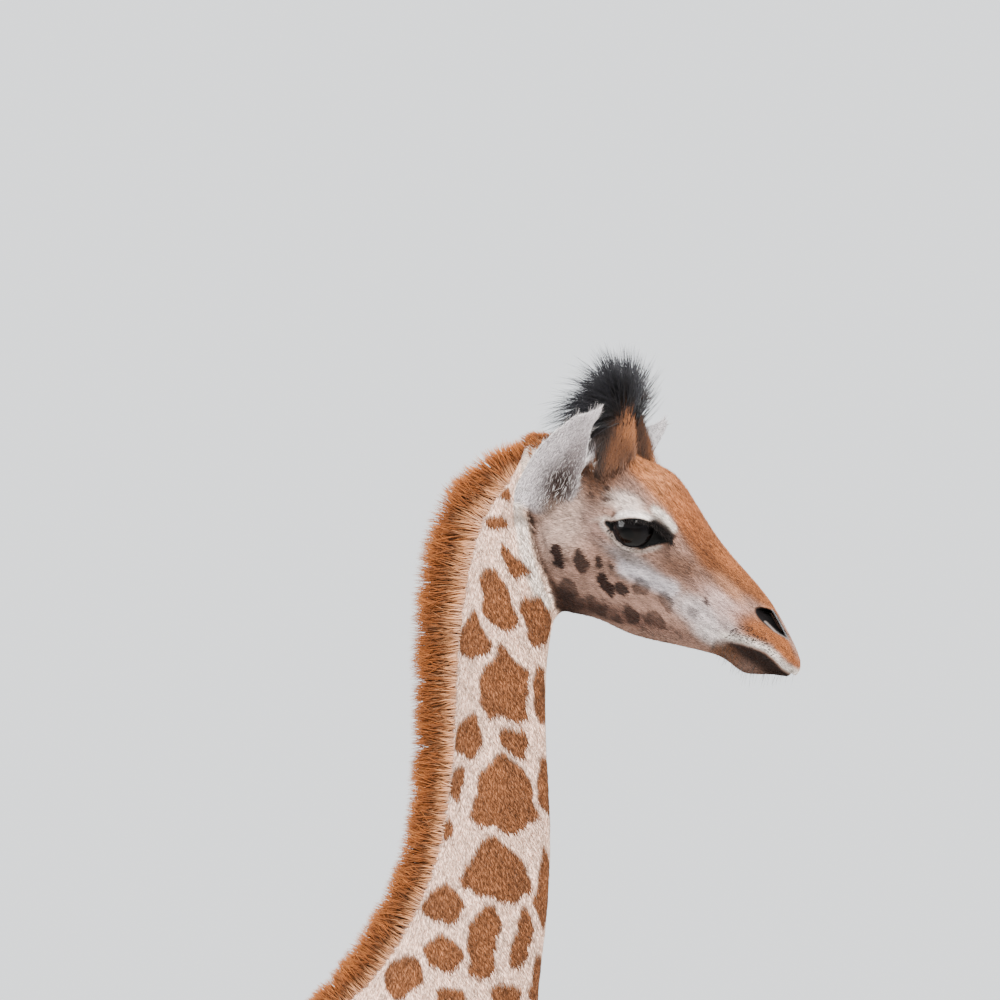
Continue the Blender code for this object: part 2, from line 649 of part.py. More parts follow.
def make_flesh():
    """Head, neck, trunk, legs and tail joined into one body, before it is parted."""
    (along, up, out), half_size = NOSTRIL
    nostrils = [ball((along, up, sign * out), half_size, 10, 7) for sign in (-1, 1)]
    others = [modified(make_head(), nostrils, "DIFFERENCE")]
    for title, sections in (("tail", TAIL_SECTIONS), ("tail_tuft", TAIL_TUFT_SECTIONS)):
        others.append(tube(title, sections, RINGS["tail"], MESH_SIDES["tail"]))
    for name, side in SIDES.items():
        others.append(make_leg("foreleg", FORELEG_SECTIONS, side, FORELEG_STEPS[name]))
        others.append(make_leg("hindleg", HINDLEG_SECTIONS, side, HINDLEG_STEPS[name]))
    return modified(loft("body", body_rings()), others, "UNION")


def fitted(obj, *rooms):
    """The mesh of obj outside the rooms, which are its neighbours grown by the gap."""
    made = modified(obj, list(rooms), "DIFFERENCE")
    bodies = islands(made.data)
    mesh = keep_only(made.data, max(bodies, key=len), made.name)
    bpy.data.objects.remove(made)
    return mesh


def neck_room():
    return loft("neck_room", body_rings(grow=GAP))


def eye_place(side):
    """The middle of the eye on that side of the calf, in the head's own millimetres."""
    return (EYE_PLACE[0] / MM, EYE_PLACE[1] / MM, -side * EYE_PLACE[2] / MM)


def add_flesh(collection):
    whole = make_flesh()
    sockets = [ball(eye_place(side), [(EYE_RADIUS + GAP) / MM] * 3) for side in SIDES.values()]
    parted = modified(whole, sockets + cutters(), "DIFFERENCE")
    bodies = islands(parted.data)
    for name, (mark, origin, material) in piece_marks().items():
        points = parted.data.vertices
        nearest = min(bodies, key=lambda body: min((points[i].co - mark).length for i in body))
        place(name, keep_only(parted.data, nearest, name), origin, material, collection)
        bodies.remove(nearest)
    bpy.data.objects.remove(parted)
    if bodies:
        raise RuntimeError(f"{len(bodies)} bodies were left without a name")


def add_hair_and_head_parts(collection):
    mane = fitted(make_mane(), neck_room(), make_head(GAP))
    place("mane", mane, in_body(-0.04, 0, 1.85), "ginger_mane", collection)
    for name, side in SIDES.items():
        out = -side
        ear = fitted(make_ear(side, EAR_SWING[name]), make_head(GAP), neck_room(), make_horn(side, GAP))
        place("ear_" + name, ear, in_head(60, -34, out * 50), "white_ear", collection)
        horn = fitted(make_horn(side), make_head(GAP))
        place("horn_" + name, horn, in_head(90, 50, out * 36), "tan_face", collection)
        tuft = fitted(make_horn_tuft(side, TUFT_END[name]), make_horn(side, GAP))
        place("horn_tuft_" + name, tuft, in_head(43, 122, out * 43), "black_hair", collection)
        eye = ball(eye_place(side), [EYE_RADIUS / MM] * 3)
        place("eye_" + name, eye.data, in_head(*eye_place(side)), "dark_eye", collection)
        bpy.data.objects.remove(eye)


def add_hooves(collection):
    feet = (("fore", FORELEG_SECTIONS, FORELEG_STEPS), ("hind", HINDLEG_SECTIONS, HINDLEG_STEPS))
    for name, side in SIDES.items():
        for foot, sections, steps in feet:
            for claw, claw_side in (("inner", -side), ("outer", side)):
                title = f"hoof_{foot}_{name}_{claw}"
                made = make_claw("claw", side, sections, claw_side, steps[name])
                middle = sum((v.co for v in made.data.vertices), Vector()) / len(made.data.vertices)
                place(title, made.data, middle, "hoof_horn", collection)
                bpy.data.objects.remove(made)


def main():
    for obj in list(bpy.data.objects):
        bpy.data.objects.remove(obj)
    collection = bpy.data.collections.new("giraffe_calf")
    bpy.context.scene.collection.children.link(collection)
    add_flesh(collection)
    add_hair_and_head_parts(collection)
    add_hooves(collection)


main()
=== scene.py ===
import math

import bmesh
import bpy
import numpy as np
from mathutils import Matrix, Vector
from mathutils.bvhtree import BVHTree


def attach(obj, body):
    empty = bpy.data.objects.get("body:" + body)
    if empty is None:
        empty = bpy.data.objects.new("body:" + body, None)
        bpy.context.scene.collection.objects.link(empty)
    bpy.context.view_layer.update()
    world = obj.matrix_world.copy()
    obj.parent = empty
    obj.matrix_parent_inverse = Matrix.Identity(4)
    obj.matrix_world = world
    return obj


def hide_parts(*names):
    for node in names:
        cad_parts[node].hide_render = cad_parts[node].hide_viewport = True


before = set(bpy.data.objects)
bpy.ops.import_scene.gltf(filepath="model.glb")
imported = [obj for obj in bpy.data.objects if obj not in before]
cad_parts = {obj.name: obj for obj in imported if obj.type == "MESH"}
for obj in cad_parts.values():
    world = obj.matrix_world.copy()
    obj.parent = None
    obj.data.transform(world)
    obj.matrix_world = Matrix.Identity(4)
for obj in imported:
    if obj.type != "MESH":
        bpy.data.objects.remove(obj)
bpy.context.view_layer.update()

scene = bpy.context.scene
mm = 0.001
bodyMiddle = -0.1617     # y of the calf's own forward zero
level = np.array((0.0, 0.0, 1.0))
ahead = np.array((0.0, -1.0, 0.0))
chance = np.random.default_rng(11)

# the head's own axes: along the nose, up, out to the calf's right
headPose = {"forward": 0.0845, "height": 2.1285, "pitch": 40.0, "yaw": 16.0, "roll": 3.0}


def headAxes(pose):
    pitch, yaw, roll = (math.radians(pose[key]) for key in ("pitch", "yaw", "roll"))
    forwards = np.array((-math.sin(yaw), -math.cos(yaw), 0.0))
    right = np.array((-math.cos(yaw), math.sin(yaw), 0.0))
    along = math.cos(pitch) * forwards - math.sin(pitch) * level
    up = math.sin(pitch) * forwards + math.cos(pitch) * level
    out = math.cos(roll) * right + math.sin(roll) * up
    up = math.cos(roll) * up - math.sin(roll) * right
    origin = np.array((0.0, bodyMiddle - pose["forward"], pose["height"]))
    return origin, np.array((along, up, out))


headOrigin, headWays = headAxes(headPose)


def toHead(points):
    return (points - headOrigin) @ headWays.T / mm


def fromHead(places):
    return headOrigin + np.asarray(places, float) @ headWays * mm


def tone(red, green, blue):
    # the 0-255 colour that a surface should look under these lamps, as the linear one that shaders use
    shares = np.array((red, green, blue)) / 255
    linear = np.where(shares < 0.04045, shares / 12.92, ((shares + 0.055) / 1.055) ** 2.4)
    return 0.95 * linear ** 1.4


def ease(value, low, high):
    share = np.clip((value - low) / (high - low), 0, 1)
    return share * share * (3 - 2 * share)


def unit(vectors):
    return vectors / np.maximum(np.linalg.norm(vectors, axis=-1, keepdims=True), 1e-12)


# meshes as arrays
def readPoints(mesh):
    flat = np.empty(len(mesh.vertices) * 3, np.float32)
    mesh.vertices.foreach_get("co", flat)
    return flat.reshape(-1, 3).astype(float)


def readFaces(mesh, sides):
    flat = np.empty(len(mesh.loops), np.int32)
    mesh.loops.foreach_get("vertex_index", flat)
    return flat.reshape(-1, sides)


def readValues(mesh, name, width=1):
    flat = np.empty(len(mesh.attributes[name].data) * width, np.float32)
    mesh.attributes[name].data.foreach_get("vector" if width == 3 else "value", flat)
    return flat.reshape(-1, width).astype(float) if width > 1 else flat.astype(float)


def writeValues(mesh, name, values):
    values = np.asarray(values, np.float32)
    if values.ndim == 1:
        kind, field = "FLOAT", "value"
    elif values.shape[1] == 4:
        kind, field = "FLOAT_COLOR", "color"
    else:
        kind, field = "FLOAT_VECTOR", "vector"
    layer = mesh.attributes.get(name) or mesh.attributes.new(name, kind, "POINT")
    layer.data.foreach_set(field, values.ravel())


def makeMesh(name, points, faces):
    mesh = bpy.data.meshes.new(name)
    mesh.vertices.add(len(points))
    mesh.vertices.foreach_set("co", np.asarray(points, np.float32).ravel())
    if len(faces):
        faces = np.asarray(faces, np.int32)
        mesh.loops.add(faces.size)
        mesh.loops.foreach_set("vertex_index", faces.ravel())
        mesh.polygons.add(len(faces))
        mesh.polygons.foreach_set("loop_start", np.arange(0, faces.size, faces.shape[1], dtype=np.int32))
        mesh.polygons.foreach_set("use_smooth", np.ones(len(faces), bool))
    mesh.update(calc_edges=True)
    return mesh


def makeObject(name, mesh):
    obj = bpy.data.objects.new(name, mesh)
    scene.collection.objects.link(obj)
    return obj


def finished(obj, name):
    # the evaluated object as a plain mesh object, the working one removed
    graph = bpy.context.evaluated_depsgraph_get()
    mesh = bpy.data.meshes.new_from_object(obj.evaluated_get(graph))
    mesh.name = name
    bpy.data.objects.remove(obj)
    result = makeObject(name, mesh)
    result.name = name
    return result


def edgesOf(faces):
    ends = np.stack((faces, np.roll(faces, -1, axis=1)), 2).reshape(-1, 2)
    return np.unique(np.sort(ends, axis=1), axis=0)


def neighbourMean(values, edges, counts):
    total = np.empty_like(values)
    for axis in range(values.shape[1]):
        column = values[:, axis]
        total[:, axis] = np.bincount(edges[:, 0], column[edges[:, 1]], len(values))
        total[:, axis] += np.bincount(edges[:, 1], column[edges[:, 0]], len(values))
    return total / counts


def countsOf(edges, number):
    return np.bincount(edges.ravel(), minlength=number)[:, None]


def blurred(values, edges, rounds):
    values = values.reshape(len(values), -1).astype(float)
    counts = countsOf(edges, len(values))
    for _ in range(rounds):
        values = 0.5 * values + 0.5 * neighbourMean(values, edges, counts)
    return values


def normalsOf(points, faces):
    total = np.zeros_like(points)
    first = points[faces[:, 1]] - points[faces[:, 0]]
    second = points[faces[:, 2]] - points[faces[:, 0]]
    flat = np.cross(first, second)
    for corner in range(faces.shape[1]):
        for axis in range(3):
            total[:, axis] += np.bincount(faces[:, corner], flat[:, axis], len(points))
    return unit(total)


# node trees
def addNode(tree, kind, inputs=None, **settings):
    node = tree.nodes.new(kind)
    for name, value in settings.items():
        setattr(node, name, value)
    for socket, value in (inputs or {}).items():
        if isinstance(value, bpy.types.NodeSocket):
            tree.links.new(value, node.inputs[socket])
        else:
            node.inputs[socket].default_value = value
    return node


def maths(tree, operation, *values):
    return addNode(tree, "ShaderNodeMath", dict(enumerate(values)), operation=operation).outputs[0]


def times(tree, first, second):
    return maths(tree, "MULTIPLY", first, second)


def minus(tree, first, second):
    return maths(tree, "SUBTRACT", first, second)


def vectors(tree, operation, *values):
    node = addNode(tree, "ShaderNodeVectorMath", dict(enumerate(values)), operation=operation)
    return node.outputs["Value" if operation == "LENGTH" else "Vector"]


def scaled(tree, vector, amount):
    return addNode(tree, "ShaderNodeVectorMath", {0: vector, "Scale": amount}, operation="SCALE").outputs[0]


def addSockets(tree, inputs, output, kind):
    for name, short, value in inputs:
        socket = tree.interface.new_socket(name, in_out="INPUT", socket_type="NodeSocket" + short)
        if value is not None:
            socket.default_value = value
    tree.interface.new_socket(output, in_out="OUTPUT", socket_type="NodeSocket" + kind)
    return addNode(tree, "NodeGroupInput").outputs


def fieldOf(tree, name, kind="FLOAT"):
    return addNode(tree, "GeometryNodeInputNamedAttribute", {"Name": name}, data_type=kind).outputs[0]


def lockTree():
    # puts one blade of hair on each point and bends it along reach, bend and sway
    tree = bpy.data.node_groups.new("growLocks", "GeometryNodeTree")
    source = addSockets(tree, [("Points", "Geometry", None), ("Blade", "Object", None),
                               ("Material", "Material", None)], "Hair", "Geometry")
    blade = addNode(tree, "GeometryNodeObjectInfo", {"Object": source["Blade"]})
    placed = addNode(tree, "GeometryNodeInstanceOnPoints",
                     {"Points": source["Points"], "Instance": blade.outputs["Geometry"]})
    real = addNode(tree, "GeometryNodeRealizeInstances", {"Geometry": placed.outputs[0]})
    share = fieldOf(tree, "share")
    across = addNode(tree, "ShaderNodeSeparateXYZ", {0: fieldOf(tree, "across", "FLOAT_VECTOR")}).outputs
    squared = times(tree, share, share)
    cubed = times(tree, squared, share)
    place = fieldOf(tree, "rootPlace", "FLOAT_VECTOR")
    for name, amount in (("reach", share), ("bend", squared), ("sway", cubed),
                         ("sideWay", across["X"]), ("upWay", across["Y"])):
        place = vectors(tree, "ADD", place, scaled(tree, fieldOf(tree, name, "FLOAT_VECTOR"), amount))
    moved = addNode(tree, "GeometryNodeSetPosition", {"Geometry": real.outputs[0], "Position": place})
    coloured = addNode(tree, "GeometryNodeSetMaterial",
                       {"Geometry": moved.outputs[0], "Material": source["Material"]})
    addNode(tree, "NodeGroupOutput", {0: coloured.outputs[0]})
    return tree


def coatTree(locks):
    # spreads roots over the skin by a region's share and gives each the lie of the coat
    tree = bpy.data.node_groups.new("growCoat", "GeometryNodeTree")
    source = addSockets(tree, [
        ("Skin", "Geometry", None), ("Region", "String", ""), ("Density", "Float", 1000.0),
        ("Seed", "Int", 1), ("Lift", "Float", 0.2), ("Spread", "Float", 0.2), ("Flatness", "Float", 0.4),
        ("Blade", "Object", None), ("Material", "Material", None)], "Hair", "Geometry")
    density = times(tree, fieldOf(tree, source["Region"]), source["Density"])
    roots = addNode(tree, "GeometryNodeDistributePointsOnFaces",
                    {"Mesh": source["Skin"], "Seed": source["Seed"], "Density": density})
    normal = roots.outputs["Normal"]
    lie = fieldOf(tree, "lie", "FLOAT_VECTOR")
    length = vectors(tree, "LENGTH", lie)
    side = vectors(tree, "NORMALIZE", vectors(tree, "CROSS_PRODUCT", normal, lie))

    def luck(low, high, seed):
        node = addNode(tree, "FunctionNodeRandomValue", {2: low, 3: high}, data_type="FLOAT")
        tree.links.new(maths(tree, "ADD", source["Seed"], float(seed)), node.inputs["Seed"])
        return node.outputs[1]

    rise = times(tree, times(tree, length, source["Lift"]), luck(0.4, 1.6, 3))
    slant = times(tree, times(tree, length, source["Spread"]), luck(-1.0, 1.0, 5))
    reach = scaled(tree, lie, luck(0.72, 1.22, 7))
    reach = vectors(tree, "ADD", reach, scaled(tree, side, slant))
    reach = vectors(tree, "ADD", reach, scaled(tree, normal, rise))
    bend = scaled(tree, normal, times(tree, rise, -0.35))
    width = times(tree, fieldOf(tree, "tuftWidth"), luck(0.7, 1.3, 9))
    thick = times(tree, width, source["Flatness"])
    place = addNode(tree, "GeometryNodeInputPosition").outputs[0]
    layers = {"rootPlace": place, "reach": reach, "bend": bend, "sway": scaled(tree, bend, 0.0),
              "sideWay": scaled(tree, side, width), "upWay": scaled(tree, normal, thick),
              "tuftTone": luck(0.0, 1.0, 11)}
    geometry = roots.outputs["Points"]
    for name, value in layers.items():
        node = addNode(tree, "GeometryNodeStoreNamedAttribute", {"Geometry": geometry, "Name": name},
                       data_type="FLOAT" if name == "tuftTone" else "FLOAT_VECTOR", domain="POINT")
        tree.links.new(value, node.inputs["Value"])
        geometry = node.outputs[0]
    hair = addNode(tree, "GeometryNodeGroup", node_tree=locks)
    for name, value in (("Points", geometry), ("Blade", source["Blade"]), ("Material", source["Material"])):
        tree.links.new(value, hair.inputs[name])
    addNode(tree, "NodeGroupOutput", {0: hair.outputs[0]})
    return tree


def bladeObject(name, rings):
    # a closed three-sided blade: rings of (share along, width), then a tip
    points, share, across, faces = [], [], [], []
    for along, width in rings:
        for x, y in ((-0.5, 0.0), (0.5, 0.0), (0.0, 1.0)):
            points.append((x * width, y * width, along))
            share.append(along)
            across.append((x * width, y * width, 0))
    points.append((0, 0, 1))
    share.append(1.0)
    across.append((0, 0.15, 0))
    for ring in range(len(rings) - 1):
        for side in range(3):
            a, b = ring * 3 + side, ring * 3 + (side + 1) % 3
            faces += [(a, b, b + 3), (a, b + 3, a + 3)]
    last = (len(rings) - 1) * 3
    faces += [(last + side, last + (side + 1) % 3, len(points) - 1) for side in range(3)]
    faces.append((2, 1, 0))
    mesh = makeMesh(name, np.array(points), np.array(faces))
    writeValues(mesh, "share", np.array(share))
    writeValues(mesh, "across", np.array(across, float))
    blade = makeObject(name, mesh)
    blade.hide_render = True
    return blade


locks = lockTree()
coats = coatTree(locks)
spike = bladeObject("spikeBlade", [(-0.06, 1.0)])
lock = bladeObject("lockBlade", [(0.0, 1.0), (0.35, 0.95), (0.68, 0.62)])
strand = bladeObject("strandBlade", [(0.0, 1.0), (0.25, 1.0), (0.5, 0.85), (0.75, 0.6)])


print("hair trees made", flush=True)


# the skin: the flesh of the CAD in one piece
skinSet = {
    "voxel": 0.0031,            # spacing of the first mesh
    # how freely each kind of skin gives up its triangles
    "spare": {"head": 0.22, "ear": 0.22, "horn": 0.22, "eye": 0.22, "neck": 0.8, "trunk": 1, "leg": 1,
              "tail": 1},
    "grow": 0.9,                # mm, closes the thin cuts between the CAD pieces
    "earGrow": 1.9,             # mm, so that the thin ears keep smooth rims
    "triangles": 148000,        # before the lids, nostrils and lips are refined
    "rounding": {"trunk": 2, "neck": 2, "leg": 2, "tail": 2, "head": 1, "ear": 1, "horn": 2, "eye": 0},
    "smoothing": {"trunk": 46, "neck": 44, "leg": 22, "tail": 8, "head": 14, "ear": 12, "horn": 8, "eye": 8},
    "coatDepth": {"trunk": 5.5, "neck": 4.0, "leg": 2.6, "tail": 1.6, "head": 2.6, "ear": 0.6, "horn": 1.6,
                  "eye": 1.6},
}
legNames = ["foreleg_left", "foreleg_right", "hindleg_left", "hindleg_right"]
fleshNodes = ["head", "lower_jaw", "neck", "trunk"] + legNames
fleshNodes += ["tail", "ear_left", "ear_right", "horn_left", "horn_right"]
eyeNodes = ["eye_left", "eye_right"]
kinds = ["head", "neck", "trunk", "leg", "tail", "ear", "horn", "eye"]


def kindOf(name):
    if name == "lower_jaw":
        return "head"
    return next(kind for kind in kinds if kind in name)


def isKind(kind, *names):
    return np.isin(kind, [kinds.index(name) for name in names])


def byKind(kind, values):
    # each point's value from a dictionary with one for each kind of skin
    return np.array([values[name] for name in kinds], float)[kind]


# nape line under the mane: forward, height, height of the hair over it, half thickness
napeLine = np.array((
    (0.078, 2.128, 0.020, 0.010), (0.052, 2.118, 0.034, 0.014), (0.018, 2.092, 0.046, 0.017),
    (-0.012, 2.042, 0.056, 0.018), (-0.028, 1.975, 0.058, 0.018), (-0.037, 1.910, 0.055, 0.018),
    (-0.043, 1.840, 0.049, 0.018), (-0.0455, 1.765, 0.046, 0.018), (-0.053, 1.690, 0.043, 0.019),
    (-0.065, 1.620, 0.041, 0.020), (-0.088, 1.555, 0.040, 0.021), (-0.122, 1.492, 0.042, 0.022),
    (-0.165, 1.438, 0.037, 0.023), (-0.212, 1.403, 0.024, 0.021), (-0.250, 1.388, 0.013, 0.017),
    (-0.285, 1.376, 0.006, 0.011)))


def outwardFrom(way):
    # square to the nape line, away from the neck
    outward = np.array((0, -way[2], way[1]))
    return outward * (np.sign(outward[1]) if abs(outward[1]) > 0.3 else np.sign(outward[2]))


def roundedNode(name, result, levels, creaseOf, grow=0.0):
    # a CAD node swollen by grow and rounded between its creases
    part = bmesh.new()
    part.from_mesh(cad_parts[name].data)
    bmesh.ops.remove_doubles(part, verts=part.verts, dist=2e-5)
    part.normal_update()
    crease = part.edges.layers.float.new("crease_edge")
    for edge in part.edges:
        edge[crease] = creaseOf(edge)
    for vertex in part.verts:
        vertex.co += vertex.normal * grow
    mesh = bpy.data.meshes.new(name + "Copy")
    part.to_mesh(mesh)
    part.free()
    obj = makeObject(name + "Copy", mesh)
    smoother = obj.modifiers.new("round", "SUBSURF")
    smoother.levels = smoother.render_levels = levels
    return finished(obj, result)


def sharpEdge(edge):
    return 1.0 if edge.calc_face_angle(0) > math.radians(55) else 0.0


fillerSet = {"depth": 0.0175, "thick": 0.0165, "wide": 1.15, "sides": 12}


def napeFiller():
    # fills the slot that the mane leaves in the neck
    part = bmesh.new()
    path = np.array([(0, bodyMiddle - forward, height) for forward, height in napeLine[:, :2]])
    rows = []
    for centre, half, way in zip(path, napeLine[:, 3], unit(np.gradient(path, axis=0))):
        outward = outwardFrom(way)
        middle = centre - outward * fillerSet["depth"]
        across, thick = np.array((half * fillerSet["wide"], 0, 0)), outward * fillerSet["thick"]
        turns = np.linspace(0, math.tau, fillerSet["sides"], endpoint=False)
        ring = [middle + across * math.cos(turn) + thick * math.sin(turn) for turn in turns]
        rows.append([part.verts.new(Vector(p)) for p in ring])
    for a, b in zip(rows, rows[1:]):
        for i in range(len(a)):
            j = (i + 1) % len(a)
            part.faces.new((a[i], a[j], b[j], b[i]))
    part.faces.new(rows[0][::-1])
    part.faces.new(rows[-1])
    bmesh.ops.recalc_face_normals(part, faces=part.faces)
    mesh = bpy.data.meshes.new("napeFiller")
    part.to_mesh(mesh)
    part.free()
    return mesh


def biggestIsland(points, faces):
    edges = edgesOf(faces)
    label = np.arange(len(points))
    while True:
        low = np.minimum(label[edges[:, 0]], label[edges[:, 1]])
        new = label.copy()
        np.minimum.at(new, edges[:, 0], low)
        np.minimum.at(new, edges[:, 1], low)
        new = new[new]
        if (new == label).all():
            break
        label = new
    keepers = label == np.bincount(label).argmax()
    order = np.cumsum(keepers) - 1
    kept = faces[keepers[faces].all(axis=1)]
    return points[keepers], order[kept]


def nearestKinds(points):
    corners, triangles, owners = [], [], []
    for name in fleshNodes + eyeNodes:
        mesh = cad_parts[name].data
        mesh.calc_loop_triangles()
        start = len(corners)
        corners += [tuple(v.co) for v in mesh.vertices]
        triangles += [tuple(start + i for i in t.vertices) for t in mesh.loop_triangles]
        owners += [kinds.index(kindOf(name))] * len(mesh.loop_triangles)
    tree = BVHTree.FromPolygons(corners, triangles)
    found = np.array([tree.find_nearest(Vector(p))[2] for p in points])
    return np.array(owners)[found]


def makeSkin():
    joined = bmesh.new()
    for name in fleshNodes + eyeNodes:
        grow = skinSet["earGrow" if "ear_" in name else "grow"] * mm
        solid = roundedNode(name, name + "Round", skinSet["rounding"][kindOf(name)], sharpEdge, grow)
        joined.from_mesh(solid.data)
        bpy.data.objects.remove(solid)
    joined.from_mesh(napeFiller())
    mesh = bpy.data.meshes.new("joined")
    joined.to_mesh(mesh)
    joined.free()
    obj = makeObject("joined", mesh)
    remesh = obj.modifiers.new("remesh", "REMESH")
    remesh.mode = "VOXEL"
    remesh.voxel_size = skinSet["voxel"]
    solid = finished(obj, "solid")
    points, faces = biggestIsland(readPoints(solid.data), readFaces(solid.data, 4))
    bpy.data.objects.remove(solid)
    print("skin remeshed:", len(points), "points", flush=True)
    return points, faces


def smoothSkin(points, faces, kind):
    edges = edgesOf(faces)
    counts = countsOf(edges, len(points))
    steps, depth = byKind(kind, skinSet["smoothing"]), byKind(kind, skinSet["coatDepth"])
    depth += np.where(isKind(kind, "ear"), skinSet["earGrow"], skinSet["grow"])
    steps, depth = blurred(np.stack((steps, depth), 1), edges, 12).T
    for step in range(int(steps.max())):
        strength = 0.6 * np.clip(steps - step, 0, 1)
        if not strength.any():
            break
        points += strength[:, None] * (neighbourMean(points, edges, counts) - points)
    points -= normalsOf(points, faces) * depth[:, None] * mm
    calm = (0.35 * (steps > 7))[:, None]
    for _ in range(3):
        points += calm * (neighbourMean(points, edges, counts) - points)
    return points


def thinned(points, faces, spare):
    # fewer triangles, most of them kept on the head
    obj = makeObject("thinning", makeMesh("thinning", points, faces))
    group = obj.vertex_groups.new(name="spare")
    for weight in np.unique(spare):
        group.add([int(i) for i in np.nonzero(spare == weight)[0]], float(weight), "REPLACE")
    thin = obj.modifiers.new("thin", "DECIMATE")
    thin.ratio = skinSet["triangles"] / (2 * len(faces))
    thin.vertex_group = "spare"
    thin.vertex_group_factor = 1.0
    thin.use_collapse_triangulate = True
    result = finished(obj, "thinned")
    points, faces = readPoints(result.data), readFaces(result.data, 3)
    bpy.data.objects.remove(result)
    return points, faces


# extra rounds of smoothing on the body, at the neck's two ends and at the top of the legs
evenSet = {"body": 14, "neckTop": 30, "neckFoot": 26, "legTop": 22, "reach": 0.05, "legHeight": 0.9,
           "footForward": -0.195, "footHeight": 1.415, "footWay": (0.228, 0.973)}


def evened(points, faces, kind):
    # takes the last ridges out of the body, most of all beside the CAD's cuts
    edges = edgesOf(faces)
    counts = countsOf(edges, len(points))
    forward, height = bodyMiddle - points[:, 1], points[:, 2]
    foot = (forward - evenSet["footForward"]) * evenSet["footWay"][0]
    foot = foot + (height - evenSet["footHeight"]) * evenSet["footWay"][1]
    neckFoot = np.abs(foot) < evenSet["reach"]
    legTop = np.abs(height - evenSet["legHeight"]) < evenSet["reach"]
    onBody = isKind(kind, "trunk", "neck")
    shares = np.stack((isKind(kind, "neck"), isKind(kind, "head")), 1).astype(float)
    border = blurred(shares, edges, 9).prod(axis=1) > 0.004
    rounds = evenSet["neckTop"] * border + evenSet["body"] * onBody
    rounds = rounds + evenSet["neckFoot"] * (onBody & neckFoot)
    rounds = rounds + evenSet["legTop"] * ((onBody | isKind(kind, "leg")) & legTop)
    rounds = blurred(rounds, edges, 4)[:, 0]
    for step in range(int(rounds.max())):
        strength = 0.5 * np.clip(rounds - step, 0, 1)[:, None]
        points = points + strength * (neighbourMean(points, edges, counts) - points)
    return points


def refined(points, faces, wanted):
    # halves the spacing where wanted is true
    mesh = makeMesh("refining", points, faces)
    part = bmesh.new()
    part.from_mesh(mesh)
    part.verts.ensure_lookup_table()
    edges = [e for e in part.edges if wanted[e.verts[0].index] and wanted[e.verts[1].index]]
    bmesh.ops.subdivide_edges(part, edges=edges, cuts=1, use_grid_fill=True)
    bmesh.ops.triangulate(part, faces=[f for f in part.faces if len(f.verts) > 3])
    part.to_mesh(mesh)
    part.free()
    return readPoints(mesh), readFaces(mesh, 3)


points, faces = makeSkin()
kind = nearestKinds(points)
points = smoothSkin(points, faces, kind)
print("skin smoothed", flush=True)
headKinds = ("head", "ear", "horn", "eye")
points, faces = thinned(points, faces, byKind(kind, skinSet["spare"]))
kind = nearestKinds(points)
points = evened(points, faces, kind)
print("skin thinned:", len(points), "points,", len(faces), "triangles", flush=True)


# the head's finer shapes, all in mm in the head's own axes
eyeSet = {"centre": (165.0, 8.0, 44.5), "radius": 30.0, "gaze": (0.12, -0.30, 0.95), "lid": 2.4,
          "lidEdge": 1.1, "sink": 2.5, "corner": 2.2, "lidSlope": 0.06}
headCuts = {"jawFold": 2.2, "mouth": 4.2, "underLip": 2.6, "nostril": 6.0, "nostrilTop": 9,
            "nostrilBack": 1.5, "nostrilRim": 1.8}
# edge of the opening between the lids: along the nose, up
lidLine = [(133, -11), (145, -4), (155, 7), (168, 19), (182, 26), (194, 28), (204, 27), (212, 25),
           (206, 15), (199, 5), (190, -7), (178, -14), (166, -16), (152, -15), (141, -13)]
nostrilLine = [(352, 29), (361, 37), (374, 41), (388, 40), (401, 35), (411, 28), (415, 23), (405, 22),
               (392, 20), (378, 19), (364, 20), (355, 23)]
mouthLine = [(336, -33), (353, -26), (364, -20), (380, -14), (398, -8), (414, -8), (427, -11), (450, -9)]
# the fold behind the jaw, cut in and painted with shade, and the pale band behind it
jawFold = [(30, -48), (52, -74), (88, -102), (132, -124), (160, -136)]
whiteBand = [(6, -44), (30, -74), (68, -106), (112, -134), (140, -146)]
# centres and half sizes of the regions that are worked on
zones = {
    "eye": ((175, 5, 58), (80, 60, 38)), "lids": ((175, 5, 60), (62, 48, 40)),
    "fineLids": ((175, 5, 58), (70, 50, 34)), "darkLids": ((172, 6, 60), (62, 44, 36)),
    "bareLids": ((175, 6, 60), (62, 44, 36)), "muzzle": ((385, 20, 20), (75, 50, 40)),
    "nostril": ((380, 27, 34), (50, 34, 26)), "fineNostril": ((380, 27, 34), (45, 24, 22)),
    "pit": ((380, 27, 34), (46, 26, 24)), "darkNostril": ((380, 27, 30), (48, 30, 30)),
    "aboveNostril": ((384, 28, 30), (34, 13, 60)),
}
# rises and falls of the lids by distance from their edge: at, half width, height
lidFolds = {
    "rim": [(2.2, 2.0, 1.3)],
    "upper": [(7.5, 1.6, -1.6), (13, 4.5, 2.4)],
    "lower": [(6.5, 1.4, -1.3), (9.5, 2.2, 0.9), (13, 1.5, -0.9)],
}
